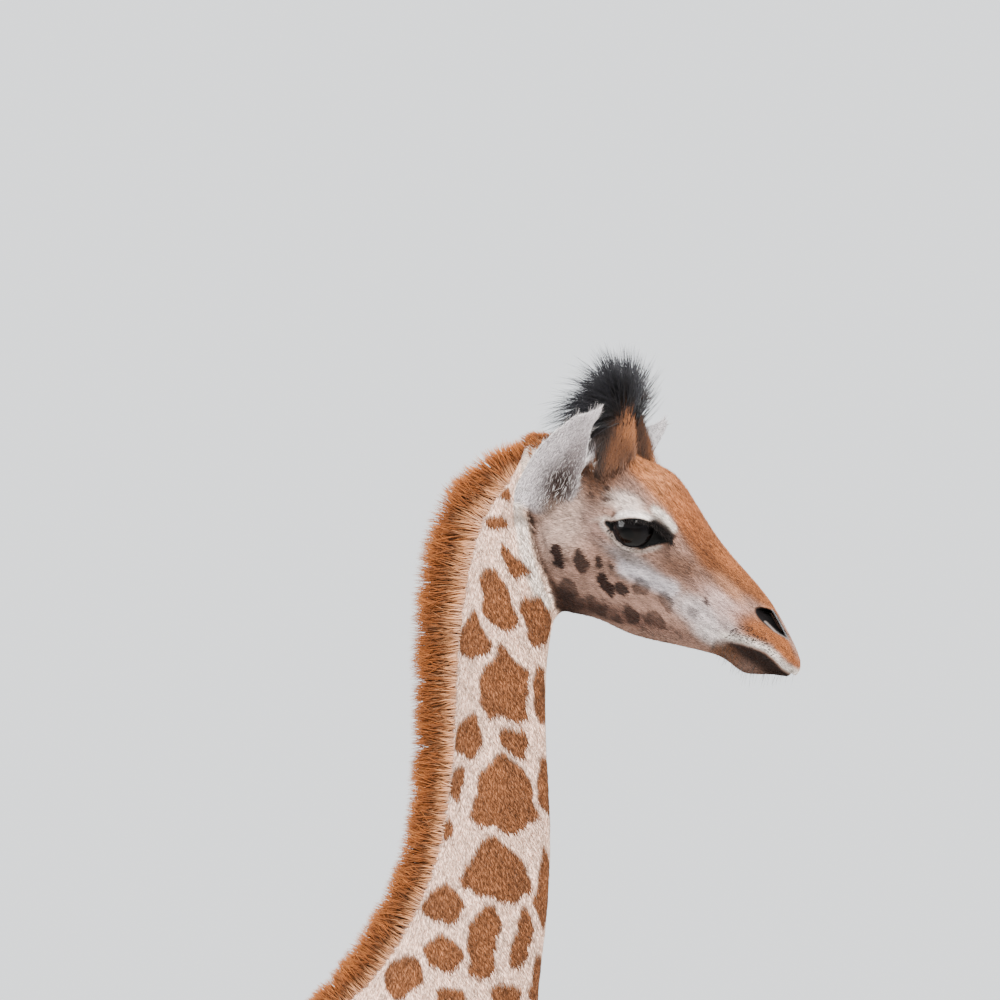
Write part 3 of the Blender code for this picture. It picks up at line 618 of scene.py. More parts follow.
# centre, half size and push
headPushes = {
    "browRidge": ((168, 46, 56), (32, 11, 22), (0, 3, 5)),
    "behindEye": ((110, 8, 58), (18, 20, 20), (0, 0, -4)),
    "temple": ((122, 44, 50), (22, 12, 20), (0, 0, -3)),
    "lowerLidBag": ((172, -30, 58), (32, 8, 22), (0, 0, 3)),
    "faceCrest": ((232, -14, 48), (34, 8, 22), (0, 0, 3.5)),
    "underCrest": ((245, -42, 38), (40, 13, 20), (0, 0, -3)),
    "noseGroove": ((296, 17, 34), (34, 9, 20), (0, 0, -4)),
    "noseBridge": ((300, 50, 22), (60, 10, 14), (0, 1.5, 2)),
    "nostrilWing": ((378, 44, 32), (24, 7, 14), (0, 2, 3)),
    "nostrilFold": ((382, 9, 34), (26, 6, 16), (0, -1, 3.5)),
    "muzzle": ((402, 2, 26), (26, 14, 18), (3, 0, 3)),
    "upperLip": ((392, -7, 26), (42, 7, 16), (0, -2, 3)),
    "chin": ((392, -42, 8), (26, 12, 20), (0, -3, 1)),
    "cheek": ((108, -76, 50), (42, 34, 26), (0, 0, 4)),
    "jawEdge": ((242, -98, 18), (58, 22, 46), (0, -6, 0)),
}


def curveThrough(corners, steps, closed=True):
    corners = np.array(corners, float)
    rows = []
    count = len(corners)
    for i in range(count if closed else count - 1):
        if closed:
            a, b, c, d = (corners[(i + k) % count] for k in (-1, 0, 1, 2))
        else:
            a, b, c, d = (corners[min(max(i + k, 0), count - 1)] for k in (-1, 0, 1, 2))
        for t in np.arange(steps) / steps:
            rows.append(0.5 * (2 * b + (c - a) * t + (2 * a - 5 * b + 4 * c - d) * t ** 2
                               + (3 * b - a - 3 * c + d) * t ** 3))
    if not closed:
        rows.append(corners[-1])
    return np.array(rows)


def awayFrom(flat, outline, closed=True):
    # distance from a line in the plane, below zero inside a closed one, and the nearest place on it
    best = np.full(len(flat), 1e9)
    nearest = np.zeros_like(flat)
    inside = np.zeros(len(flat), bool)
    count = len(outline)
    for i in range(count if closed else count - 1):
        a, b = outline[i], outline[(i + 1) % count]
        way = b - a
        share = np.clip(((flat - a) @ way) / max(way @ way, 1e-9), 0, 1)
        foot = a + share[:, None] * way
        gap = np.linalg.norm(flat - foot, axis=1)
        closer = gap < best
        best[closer] = gap[closer]
        nearest[closer] = foot[closer]
        if closed:
            crossed = (a[1] > flat[:, 1]) != (b[1] > flat[:, 1])
            with np.errstate(divide="ignore", invalid="ignore"):
                cut = (b[0] - a[0]) * (flat[:, 1] - a[1]) / (b[1] - a[1]) + a[0]
            inside ^= crossed & (flat[:, 0] < cut)
    return np.where(inside, -best, best), nearest


def stroke(places, line, width, soft=0.6):
    gap = awayFrom(places[:, :2], np.array(line, float), closed=False)[0]
    return 1 - ease(gap, width * (1 - soft), width * (1 + soft))


lidCurve = curveThrough(lidLine, 5)
nostrilCurve = curveThrough(nostrilLine, 5)


def mirrored(points):
    # head places with the side folded over, and which side each is on
    places = toHead(points)
    side = np.sign(places[:, 2])
    places[:, 2] = np.abs(places[:, 2])
    return places, side


def unfolded(places, side):
    places = places.copy()
    places[:, 2] *= side
    return fromHead(places)


def near(places, zone):
    centre, reach = zones[zone]
    return np.linalg.norm((places - np.array(centre)) / np.array(reach), axis=1) < 1


def softened(points, edges, weight, rounds):
    counts = countsOf(edges, len(points))
    for _ in range(rounds):
        points = points + 0.5 * weight[:, None] * (neighbourMean(points, edges, counts) - points)
    return points


def aboveMouth(places):
    return places[:, 1] - np.interp(places[:, 0], *np.array(mouthLine).T)


def folded(gap, folds):
    return sum(height * np.exp(-((gap - at) / width) ** 2) for at, width, height in lidFolds[folds])


def closeLids(places, lid, nearest, upper):
    # the opening's inside goes behind the globe, the lids lie over it
    close = near(places, "lids")
    rim = close & (np.abs(lid) < eyeSet["lidEdge"])
    places[rim, :2] = nearest[rim]
    centre = np.array(eyeSet["centre"])
    away = places - centre
    distance = np.linalg.norm(away, axis=1)
    way = away / distance[:, None]
    planar = np.linalg.norm(away[:, :2], axis=1)
    offGlobe = ease(planar, 25, 33)
    inside = close & (lid < -eyeSet["lidEdge"])
    sunk = np.minimum(distance, eyeSet["radius"] - eyeSet["sink"])
    corner = distance - eyeSet["corner"] * ease(-lid, 0, 5)
    places[inside] = (centre + way * (sunk * (1 - offGlobe) + corner * offGlobe)[:, None])[inside]
    cover = eyeSet["radius"] + eyeSet["lid"]
    fade = 1 - ease(planar, 36, 47)
    fold = folded(lid, "rim") + (folded(lid, "upper") * upper + folded(lid, "lower") * (1 - upper)) * fade
    height = np.maximum(distance, cover - eyeSet["lidSlope"] * np.maximum(lid - 6, 0)) + fold
    outside = close & (lid >= -eyeSet["lidEdge"])
    share = 1 - ease(lid, 16, 24)
    height = distance * (1 - share) + height * share
    places[outside] = (centre + way * height[:, None])[outside]
    return places


hornLean = (-17, -11)  # how far the left horn's tip goes back and down
rightEar = {"root": -13, "tip": 5, "drop": -12, "rootDrop": 17}
leftEar = {"ahead": 4, "rise": 18, "broader": 0.6, "middle": 50}


def setEars(points, edges):
    # wider and further back at the root, then the rims evened
    places, side = mirrored(points)
    high = places[:, 1]
    onEar = (places[:, 0] < 125) & (places[:, 0] > -40) & (high > -75) & (high < 150)
    weight = ease(places[:, 2], 31, 54) * onEar
    onRight = weight * (side > 0)
    tip = ease(high, 66, 118)
    places[:, 0] += onRight * (rightEar["root"] * (1 - tip) + rightEar["tip"] * tip)
    places[:, 1] += onRight * (rightEar["drop"] - rightEar["rootDrop"] * (1 - ease(high, -45, 12)))
    onLeft = weight * (side < 0) * ease(high, 30, 100)
    hornGap = np.linalg.norm((places - np.array((66, 90, 38))) / np.array((40, 44, 26)), axis=1)
    onHorn = (side < 0) * (1 - ease(hornGap, 0.9, 1.2)) * ease(high, 44, 108)
    places[:, :2] += onHorn[:, None] * np.array(hornLean)
    places[:, 0] += onLeft * leftEar["ahead"]
    places[:, 1] += onLeft * leftEar["rise"]
    broad = onLeft * ease(high, 50, 85) * (1 - ease(high, 122, 136))
    places[:, 0] += broad * leftEar["broader"] * (places[:, 0] - leftEar["middle"])
    return softened(unfolded(places, np.where(side == 0, 1, side)), edges, weight, 5)


def refineHead(points, faces):
    # finer round the eyes, nostrils and mouth, and finest along the lids and slits
    for fine in (False, True):
        places = mirrored(points)[0]
        lid = awayFrom(places[:, :2], lidCurve)[0]
        slit = awayFrom(places[:, :2], nostrilCurve)[0]
        if fine:
            wanted = (np.abs(lid) < 4.5) & near(places, "fineLids")
            wanted |= (slit < 2) & near(places, "fineNostril")
        else:
            wanted = (lid < 20) & near(places, "eye")
            wanted |= (slit < 10) & near(places, "nostril")
            wanted |= (np.abs(aboveMouth(places)) < 7) & (places[:, 0] > 332) & (places[:, 0] < 470)
        points, faces = refined(points, faces, wanted)
        edges = edgesOf(faces)
        places = mirrored(points)[0]
        calm = near(places, "eye") | near(places, "muzzle")
        points = softened(points, edges, calm.astype(float), 3)
    return setEars(points, edges), faces


def openNostrils(places):
    slit, nearest = awayFrom(places[:, :2], nostrilCurve)
    pit = near(places, "pit") & (places[:, 2] > 15)
    rim = pit & (np.abs(slit) < 0.8)
    places[rim, :2] = nearest[rim]
    deep = pit * ease(-slit, 0.2, 7.0) * ease(places[:, 2], 15, 22)
    high = ease(places[:, 1] + 0.25 * (places[:, 0] - 380), 20, 30)
    places[:, 2] -= deep * (headCuts["nostril"] + headCuts["nostrilTop"] * high)
    places[:, 0] -= deep * headCuts["nostrilBack"]
    places[:, 2] += pit * headCuts["nostrilRim"] * np.exp(-((slit - 2.2) / 2.2) ** 2)


def sculptHead(points, faces):
    points, faces = refineHead(points, faces)
    places, side = mirrored(points)
    normals = normalsOf(points, faces) @ headWays.T
    normals[:, 2] *= side
    for centre, reach, push in headPushes.values():
        gap = ((places - np.array(centre)) / np.array(reach)) ** 2
        places += np.exp(-gap.sum(axis=1))[:, None] * np.array(push)
    lip = aboveMouth(places)
    front = ease(places[:, 0], 338, 356)
    onJaw = (places[:, 0] > 320) & (places[:, 0] < 480)
    groove = np.exp(-(lip / 2.0) ** 2) * front * onJaw
    fold = (places[:, 2] > 18) * stroke(places, jawFold, 4.0, 0.9)
    places -= normals * (headCuts["jawFold"] * fold)[:, None]
    places -= normals * (headCuts["mouth"] * groove)[:, None]
    lower = ease(-lip, 0.5, 4) * (1 - ease(-lip, 12, 26)) * front * onJaw
    places[:, 2] -= headCuts["underLip"] * lower * np.clip(places[:, 2] / 12, 0, 1)
    openNostrils(places)
    lid, nearest = awayFrom(places[:, :2], lidCurve)
    middle = np.interp(places[:, 0], [133, 212], [-11, 25])
    upper = ease(places[:, 1] - middle, -5, 5)
    places = closeLids(places, lid, nearest, upper)
    places[:, 2] = np.maximum(places[:, 2], 0)
    return unfolded(places, np.where(side == 0, 1, side)), faces


points, faces = sculptHead(points, faces)
print("head shaped:", len(faces), "triangles", flush=True)


# markings
markSet = {
    "ground": (242, 215, 199), "belly": (238, 222, 208), "patch": (154, 110, 77),
    "legGround": (232, 212, 194),
    # the fold colour is painted shade in the fold behind the jaw, together with its brown line
    "spot": (62, 38, 26), "band": (236, 224, 216), "fold": (92, 68, 56),
    "pastMiddle": 0.012, "lowest": 1.405, "deepest": -0.012,
    "channel": 0.0042,
}
noPatch = -0.02          # patch edge where nothing is drawn, in m
# patches on the side of the neck: forward, height, half width, half height (mm), lean, narrowing to the top
neckPatches = [
    (0.031, 2.075, 8, 8, 0, 0), (0.023, 2.039, 17, 9, 12, 0), (0.040, 1.992, 12, 24, -42, 0.1),
    (0.021, 1.942, 20, 43, -18, 0.1), (-0.009, 1.898, 17, 33, -10, 0.5), (0.074, 1.913, 21, 36, -24, 0),
    (0.0325, 1.831, 36, 49, -14, 0.5), (0.076, 1.822, 18, 42, -10, 0.4), (-0.015, 1.769, 19, 30, 14, 0),
    (0.044, 1.762, 15, 27, -36, 0), (0.031, 1.693, 38, 52, -8, 0.45), (0.084, 1.702, 17, 42, -6, 0.2),
    (-0.0295, 1.707, 12, 25, 8, 0.2), (-0.044, 1.642, 8, 14, 0, 0), (0.020, 1.591, 39, 41, 0, 0.1),
    (0.084, 1.569, 18, 47, 0, 0.1), (-0.0475, 1.548, 23, 26, 20, 0), (0.003, 1.499, 20, 50, 10, 0.1),
    (0.053, 1.506, 14, 37, 8, 0.1), (-0.0475, 1.485, 24, 23, 0, 0), (0.074, 1.453, 15, 33, 5, 0),
    (-0.098, 1.458, 25, 30, 20, 0), (-0.038, 1.428, 19, 17, 0, 0), (0.035, 1.432, 20, 18, 0, 0)]
# dark spots on the cheek: along, up, half length, half width (mm), turn, paleness
cheekSpots = [
    (111, -85, 16, 9.5, -62, 0), (139, -70, 18, 6.5, -34, 0.1), (158, -57, 9, 5.5, -60, 0.1),
    (171, -48, 5, 4, 0, 0.3), (182, -75, 16, 9, -22, 0), (202, -66, 11, 7, -20, 0.1),
    (217, -47, 11, 10, 0, 0.45), (255, -41, 13, 10, 10, 0.5), (231, -82, 14, 9, 0, 0.25),
    (260, -69, 15, 9, 0, 0.35), (293, -30, 9, 6, 20, 0.55), (296, -9, 6, 4, -30, 0.2),
    (186, -103, 16, 8, 0, 0.35), (222, -104, 12, 7, 0, 0.4), (147, -110, 15, 11, -30, 0.25),
    (112, 12, 5, 4, 0, 0.3), (122, 24, 4, 3, 0, 0.2), (104, 24, 4, 3.5, 0, 0.2), (98, 2, 5, 3, 0, 0.4)]


def wavered(places):
    # bends the pattern a little, so that no patch is a plain oval
    shift = np.zeros_like(places)
    for size, length, start in ((3.4, 0.066, 0.3), (1.5, 0.031, 1.9), (0.7, 0.016, 4.4)):
        turn = places * math.tau / length + start
        shift[:, 0] += size * np.sin(turn[:, 1] + 1.3 * np.sin(turn[:, 2]))
        shift[:, 1] += size * np.sin(turn[:, 2] + 1.7 * np.cos(turn[:, 0] * 0.6 + turn[:, 1] * 0.5))
        shift[:, 2] += size * np.sin(turn[:, 0] * 0.5 + turn[:, 1] * 0.9 + 2.1)
    return places + shift * mm


# how far a patch reaches, how much of it is round and how much cornered
patchSet = {"reach": 2.6, "depth": 0.7, "power": 2.5, "round": 0.45, "cornered": 0.55, "corners": 1.06}


def patchValue(places, seed, best, second):
    # how far inside the patch each place is, and how far inside the next one
    centre, across, high, half, tall, taper, corners = seed
    away = places - centre
    close = np.nonzero((np.abs(away) < patchSet["reach"] * max(half, tall)).all(axis=1))[0]
    away = away[close]
    x, y = away @ across, away @ high
    deep = np.linalg.norm(away - x[:, None] * across - y[:, None] * high, axis=1)
    y = y / tall
    x = np.copysign(np.hypot(x, patchSet["depth"] * deep), x) / (half * np.clip(1 - taper * y, 0.35, 1.8))
    rounded = (np.abs(x) ** patchSet["power"] + np.abs(y) ** patchSet["power"]) ** (1 / patchSet["power"])
    sides = np.stack([x * math.cos(turn) + y * math.sin(turn) for turn in corners])
    distance = patchSet["round"] * rounded + patchSet["cornered"] * sides.max(axis=0) * patchSet["corners"]
    value = (1 - distance) * (0.4 * max(half, tall) + 0.6 * min(half, tall))
    inner = value > best[close]
    second[close] = np.where(inner, best[close], np.maximum(second[close], value))
    best[close] = np.where(inner, value, best[close])


def cornersOf(number):
    # five or six uneven sides
    count = 5 + number % 2
    return [math.tau * (i + 0.25 * math.sin(3.7 * number + 2.3 * i)) / count + 0.9 * number
            for i in range(count)]


def turned(x, y, angle):
    cosine, sine = math.cos(angle), math.sin(angle)
    return x * cosine + y * sine, y * cosine - x * sine


def bodyMarkings(points, kind, tree):
    # distance to the edge of the placed patches, and where the pattern runs on by itself
    best = np.full(len(points), -1.0)
    second = np.full(len(points), -1.0)
    seeds = []
    for forward, height, half, tall, lean, taper in neckPatches:
        hit = tree.ray_cast(Vector((-1, bodyMiddle - forward, height)), Vector((1, 0, 0)))[0]
        if hit is None:
            continue
        across, high = turned(ahead, level, -math.radians(lean))
        seeds.append((np.array(hit), across, high, half * mm, tall * mm, taper, cornersOf(len(seeds))))
    onNeck = isKind(kind, "neck")
    shown = (points[:, 0] < markSet["pastMiddle"]) & (points[:, 2] > markSet["lowest"])
    shown &= isKind(kind, "neck", "trunk")
    bent = wavered(points)
    for seed in seeds:
        patchValue(bent, seed, best, second)
    edge = np.minimum(best, (best - second) * 0.5 - markSet["channel"])
    edge = np.maximum(edge, markSet["deepest"])
    edge[~(shown | onNeck) | isKind(kind, *headKinds)] = noPatch
    return edge, isKind(kind, "neck", "trunk", "leg") & ~shown


def paint(colours, mask, colour):
    return colours * (1 - mask[:, None]) + tone(*colour) * mask[:, None]


def oval(places, centre, half, turn=0.0, soft=0.35):
    # 1 inside an oval on the side of the head, easing to 0 outside it
    x, y = turned(places[:, 0] - centre[0], places[:, 1] - centre[1], math.radians(turn))
    return 1 - ease(np.hypot(x / half[0], y / half[1]), 1 - soft, 1 + soft)


orangeLine = [(-30, 60), (40, 84), (76, 82), (113, 55), (141, 57), (183, 52), (206, 44), (247, 30), (264, 25),
              (300, 26), (336, 34), (470, 42)]
# the face's colours in the order they are laid, painted shade under the jaw, in the nostrils and under the
# upper lip among them, each with a mask's name, or with an oval's middle, half size, turn, softness and
# strength, or with a line, its width and softness
faceLayers = [
    # the dark throat colour on this line is painted shade under the jaw
    ((158, 132, 120), "all"), ((74, 52, 42), "throatShade"),
    # this dark oval at the jaw's rear corner and the dark line along the jaw's lower edge below it are
    # painted shade under the jaw
    ((84, 60, 49), (172, -124), (56, 15), 8, 0.7, 1),
    ((78, 56, 47), [(140, -134), (200, -113), (260, -88), (310, -68), (345, -54)], 15, 0.9),
    ((176, 156, 146), (92, -40), (34, 52), 0, 0.6, 1), ((132, 112, 104), (104, -4), (15, 24), 20, 0.6, 0.8),
    ((212, 199, 192), (138, 25), (26, 12), 15, 0.6, 1), ((142, 120, 112), (128, -28), (22, 14), -20, 0.6, 1),
    ((160, 151, 150), (194, -28), (38, 11), 8, 0.6, 1),
    ((206, 200, 203), [(190, -40), (222, -32), (252, -24)], 10, 0.6),
    ((134, 124, 120), (184, -27), (15, 6), 0, 0.8, 0.8), ((120, 94, 80), (245, 6), (28, 15), 22, 0.6, 0.9),
    ((200, 190, 189), (306, -22), (46, 17), 12, 0.5, 1), ((146, 122, 114), (288, 4), (26, 7), 14, 0.7, 0.6),
    ((150, 126, 118), (330, -14), (16, 6), -20, 0.7, 0.5), ((194, 173, 168), (322, 5), (30, 15), 6, 0.6, 1),
    ((104, 78, 68), (278, -77), (78, 13), 15, 0.7, 1), ((208, 200, 198), (330, -38), (26, 10), 10, 0.6, 1),
    ((160, 112, 76), "orange"),
    ((184, 136, 100), (146, 76), (42, 18), -14, 0.8, 0.8),
    ((118, 82, 56), (258, 38), (44, 10), -12, 0.8, 0.9), ((126, 88, 60), (318, 36), (30, 8), 4, 0.8, 0.6),
    ((167, 131, 108), (310, 24), (26, 8), -6, 0.6, 1),
    ((156, 106, 72), "forehead"), ((156, 108, 72), "muzzle"), ((158, 108, 72), "nose"),
    ((218, 202, 190), "earRoot"), ((150, 112, 84), "poll"),
    ((100, 72, 54), (78, 44), (34, 40), 0, 0.5, 0.9), ((110, 84, 68), (90, 16), (26, 22), 0, 0.8, 0.75),
    ((182, 132, 92), "crown"), ((100, 72, 54), (66, 66), (22, 26), 0, 0.5, 0.9),
    ((224, 216, 211), [(145, 8), (155, 19), (168, 27), (182, 31)], 5, 0.6),
    ((226, 219, 212), [(176, 42), (190, 42), (206, 38)], 4.5, 0.6),
    ((44, 34, 30), [(184, 30), (198, 33), (212, 30)], 4.5, 0.6),
    # the lower lip's colour is its dark brown with painted shade under the overhanging upper lip
    ((206, 198, 192), "lowerLid"), ((214, 206, 200), "upperLip"), ((62, 42, 31), "lowerLipAndShade"),
    # the nostril colour here and the deepest nostril colour below are dark skin with painted shade down in
    # the nostril's pit
    ((118, 88, 66), "chin"), ((30, 25, 26), "nostril"), ((170, 160, 156), "nostrilFold"),
    ((10, 8, 8), "deepNostrilShade"), ((13, 10, 10), "lids")]


def faceMasks(places, side, lid):
    along, up = places[:, 0], places[:, 1]
    lip = aboveMouth(places)
    onLips = (along > 336) * 1.0
    slit = awayFrom(places[:, :2], nostrilCurve)[0]
    pit = near(places, "darkNostril") * ease(places[:, 2], 7, 11)
    return {
        # the throat mask marks painted shade under the jaw
        "all": np.ones(len(places)), "throatShade": ease(-up, 104, 134),
        "orange": ease(up - np.interp(along, *np.array(orangeLine).T), -5, 6),
        "forehead": 0.6 * oval(places, (205, 66), (50, 16), -22, 0.7),
        "muzzle": (along > 320) * side * oval(places, (398, 10), (58, 17), 4, 0.5),
        "nose": ease(along, 418, 440) * ease(lip, 0, 3), "earRoot": 1 - ease(along, 2, 30),
        "poll": (1 - ease(along, 5, 40)) * ease(up, 8, 30),
        "crown": 0.8 * ease(up, 62, 80) * (1 - ease(along, 120, 150)),
        "lowerLid": 0.5 * (side * (up < 12) * ease(lid, 1.5, 4) * (1 - ease(lid, 5, 10)))
                    * oval(places, (170, -5), (60, 34)),
        "upperLip": onLips * ease(lip, 0.5, 2) * (1 - ease(lip, 8, 13)),
        # the lower lip mask carries the lip's dark brown and painted shade under the upper lip
        "lowerLipAndShade": onLips * ease(-lip, -0.5, 2) * ease(along, 338, 354) * (1 - 0.5 * ease(-lip, 14, 30)),
        "chin": onLips * 0.8 * oval(places, (352, -46), (26, 13), 0, 0.6),
        # the nostril masks carry dark skin and painted shade in the pit, darkest at its back
        "nostril": pit * ease(-slit, -1, 1),
        "nostrilFold": 0.45 * pit * stroke(places, [(372, 22.5), (390, 21.5), (409, 23.5)], 0.9),
        "deepNostrilShade": pit * ease(-slit, 0.5, 2.5) * ease(up + 0.25 * (along - 380), 23, 27),
        "lids": near(places, "darkLids") * (1 - ease(lid, 1.4, 3.6)),
    }


def faceColours(colours, places, lid):
    side = ease(places[:, 2], 6, 20)
    masks = faceMasks(places, side, lid)
    for colour, shape, *rest in faceLayers:
        if isinstance(shape, str):
            mask = masks[shape]
        elif isinstance(shape, list):
            mask = side * stroke(places, shape, *rest)
        else:
            mask = rest[-1] * side * oval(places, shape, *rest[:-1])
        colours = paint(colours, mask, colour)
    return colours


def headMarkings(places, edge):
    # the cheek's spots, and how pale each is
    pale = np.zeros(len(places))
    bent = wavered(places * mm * 1.6) / mm / 1.6
    for along, up, long, wide, turn, paleness in cheekSpots:
        x, y = turned(bent[:, 0] - along, bent[:, 1] - up, math.radians(turn))
        value = (1 - (np.abs(x / long) ** 2.6 + np.abs(y / wide) ** 2.6) ** 0.385) * min(long, wide) * mm
        value = np.where(places[:, 2] > 12, value, noPatch)
        pale = np.where(value > edge, paleness, pale)
        edge = np.maximum(edge, value)
    return edge, pale


def blend(first, second, share):
    return first * (1 - share) + second * share


# painted shade inside the ear's cavity: middle, half size, turn, softness, strength, colour
earCavityShade = [((54, 18), (17, 40), 12, 0.6, 0.8, (128, 118, 118)),
             ((56, -18), (27, 36), 18, 0.7, 1, (66, 50, 45)),
             ((72, -50), (20, 18), 0, 0.6, 0.8, (112, 92, 78))]
# the far ear's grey is painted shade
earSet = {"back": (224, 220, 220), "inside": (196, 190, 192), "farEarShade": (148, 145, 149),
          "atHorn": (104, 76, 56), "cavity": (0.42, -0.10, 0.90)}
hornTones = {"side": (52, 35, 24), "front": (156, 110, 72), "tip": (48, 38, 36)}


def earColours(places, side, face, facing):
    inner = np.tile(tone(*earSet["inside"]), (len(places), 1))
    # the ovals laid here are painted shade in the ear's cavity
    for middle, half, turn, soft, strength, colour in earCavityShade:
        inner = paint(inner, strength * oval(places, middle, half, turn, soft), colour)
    colours = np.tile(tone(*earSet["back"]), (len(places), 1))
    colours = blend(colours, inner, ease(facing, 0.25, 0.75)[:, None])
    # painted shade on the upper part of the far ear
    colours = paint(colours, 0.6 * (side < 0) * ease(places[:, 1], 50, 80), earSet["farEarShade"])
    colours = blend(face, colours, ease(places[:, 2], 34, 50)[:, None])
    besideHorn = np.linalg.norm((places - np.array((77, 30, 52))) / np.array((13, 26, 22)), axis=1)
    return paint(colours, 1 - ease(besideHorn, 0.8, 1.15), earSet["atHorn"])


def addMarkings(mesh, points, faces, kind, tree):
    normals = normalsOf(points, faces)
    edge, wild = bodyMarkings(points, kind, tree)
    places, side = mirrored(points)
    lid = awayFrom(places[:, :2], lidCurve)[0]
    isHead, isEar, isHorn, isLeg, isTrunk = (isKind(kind, *names) for names in (
        ("head", "eye"), ("ear",), ("horn",), ("leg",), ("trunk",)))
    height = points[:, 2]
    ground = np.tile(tone(*markSet["ground"]), (len(points), 1))
    ground = paint(ground, isTrunk * ease(-normals[:, 2], 0.35, 0.9), markSet["belly"])
    ground = paint(ground, isLeg * (1 - ease(height, 0.5, 0.85)), markSet["legGround"])
    patch = np.tile(tone(*markSet["patch"]), (len(points), 1))
    low = isLeg * (1 - ease(height, 0.56, 0.86))
    below = isTrunk * ease(-normals[:, 2], 0.45, 0.95)
    patch = blend(patch, ground, np.maximum(low, 0.75 * below)[:, None])
    spots, pale = headMarkings(places, edge.copy())
    edge = np.where(isHead, spots, edge)
    face = faceColours(ground.copy(), places, lid)
    headNormals = normals @ headWays.T
    sideways = np.stack((np.ones(len(points)), np.ones(len(points)), np.where(side == 0, 1, side)), 1)
    facing = (headNormals * sideways) @ np.array(earSet["cavity"])
    front = ease(normals @ headWays[0], 0.25, 0.85)[:, None]
    hornTone = blend(tone(*hornTones["side"]), tone(*hornTones["front"]), front)
    hornTone = blend(hornTone, tone(*hornTones["tip"]), 0.9 * ease(places[:, 1], 98, 116)[:, None])
    ground[isHead] = face[isHead]
    patch[isHead] = blend(tone(*markSet["spot"]), face, pale[:, None])[isHead]
    besideJaw = (places[:, 2] > 18) & (isHead | isKind(kind, "neck"))
    ground = paint(ground, besideJaw * stroke(places, whiteBand, 8, 0.4), markSet["band"])
    # painted shade in the fold between jaw and neck, together with its thin brown line
    ground = paint(ground, 0.9 * besideJaw * stroke(places, jawFold, 4.5), markSet["fold"])
    ground[isEar] = earColours(places, side, face, facing)[isEar]
    ground[isHorn] = hornTone[isHorn]
    edge[isKind(kind, "ear", "horn", "tail")] = noPatch
    edges = edgesOf(faces)
    ground = np.where(isKind(kind, *headKinds)[:, None], blurred(ground, edges, 2), ground)
    slit = awayFrom(places[:, :2], nostrilCurve)[0]
    nostril = near(places, "darkNostril") * ease(places[:, 2], 7, 11)
    lips = (places[:, 0] > 345) * (1 - ease(np.abs(aboveMouth(places)), 1.2, 2.6))
    bare = near(places, "bareLids") * (1 - ease(lid, 1.5, 4.0))
    bare = np.maximum(np.maximum(bare, nostril * ease(-slit, -1.5, 0.5)), lips) * isHead
    alpha = np.ones((len(points), 1))
    layers = {"groundColour": np.hstack((ground, alpha)), "patchColour": np.hstack((patch, alpha)),
              "patchEdge": edge, "wildPattern": blurred(wild.astype(float), edges, 7)[:, 0],
              "rootPlace": points, "bare": bare, "tuftTone": np.full(len(points), 0.5)}
    for name, values in layers.items():
        writeValues(mesh, name, values)
    return normals, places, side, lid, bare, facing


skin = makeObject("skin", makeMesh("skin", points, faces))
kind = nearestKinds(points)
skinTree = BVHTree.FromPolygons([tuple(p) for p in points], [tuple(int(i) for i in f) for f in faces])
normals, places, side, lid, bare, earFacing = addMarkings(skin.data, points, faces, kind, skinTree)
print("markings laid", flush=True)


# materials
def newMaterial(name, roughness, specular=0.5):
    material = bpy.data.materials.new(name)
    material.use_nodes = True
    tree = material.node_tree
    shader = tree.nodes["Principled BSDF"]
    shader.inputs["Roughness"].default_value = roughness
    shader.inputs["Specular IOR Level"].default_value = specular
    return material, tree, shader


def attribute(tree, name, output="Fac"):
    return addNode(tree, "ShaderNodeAttribute", attribute_name=name).outputs[output]


def noise(tree, place, scale, detail, output=0):
    inputs = {"Vector": place, "Scale": scale, "Detail": detail}
    return addNode(tree, "ShaderNodeTexNoise", inputs).outputs[output]


def remap(tree, value, low, high, first=0.0, last=1.0, **settings):
    inputs = {0: value, 1: low, 2: high, 3: first, 4: last}
    return addNode(tree, "ShaderNodeMapRange", inputs, **settings).outputs[0]


def mixed(tree, share, first, second):
    return addNode(tree, "ShaderNodeMix", {"Factor": share, 6: first, 7: second}, data_type="RGBA").outputs[2]


def rampOf(tree, value, stops):
    ramp = addNode(tree, "ShaderNodeValToRGB", {0: value})
    elements = ramp.color_ramp.elements
    while len(elements) < len(stops):
        elements.new(0.5)
    for element, (position, colour) in zip(elements, stops):
        element.position = position
        element.color = (*tone(*colour), 1)
    return ramp.outputs[0]


def bumped(tree, shader, distance, height):
    lift = addNode(tree, "ShaderNodeBump", {"Strength": 0.5, "Distance": distance, "Height": height})
    tree.links.new(lift.outputs[0], shader.inputs["Normal"])


# scales of the noises behind the markings
patternSet = {"coarse": 85.0, "fine": 420.0, "broad": 22.0, "thinStreaks": 270.0, "wideStreaks": 105.0,
              "sway": 16.0, "cellShape": (1.0, 0.92, 0.76), "edgeWidth": 0.0014}


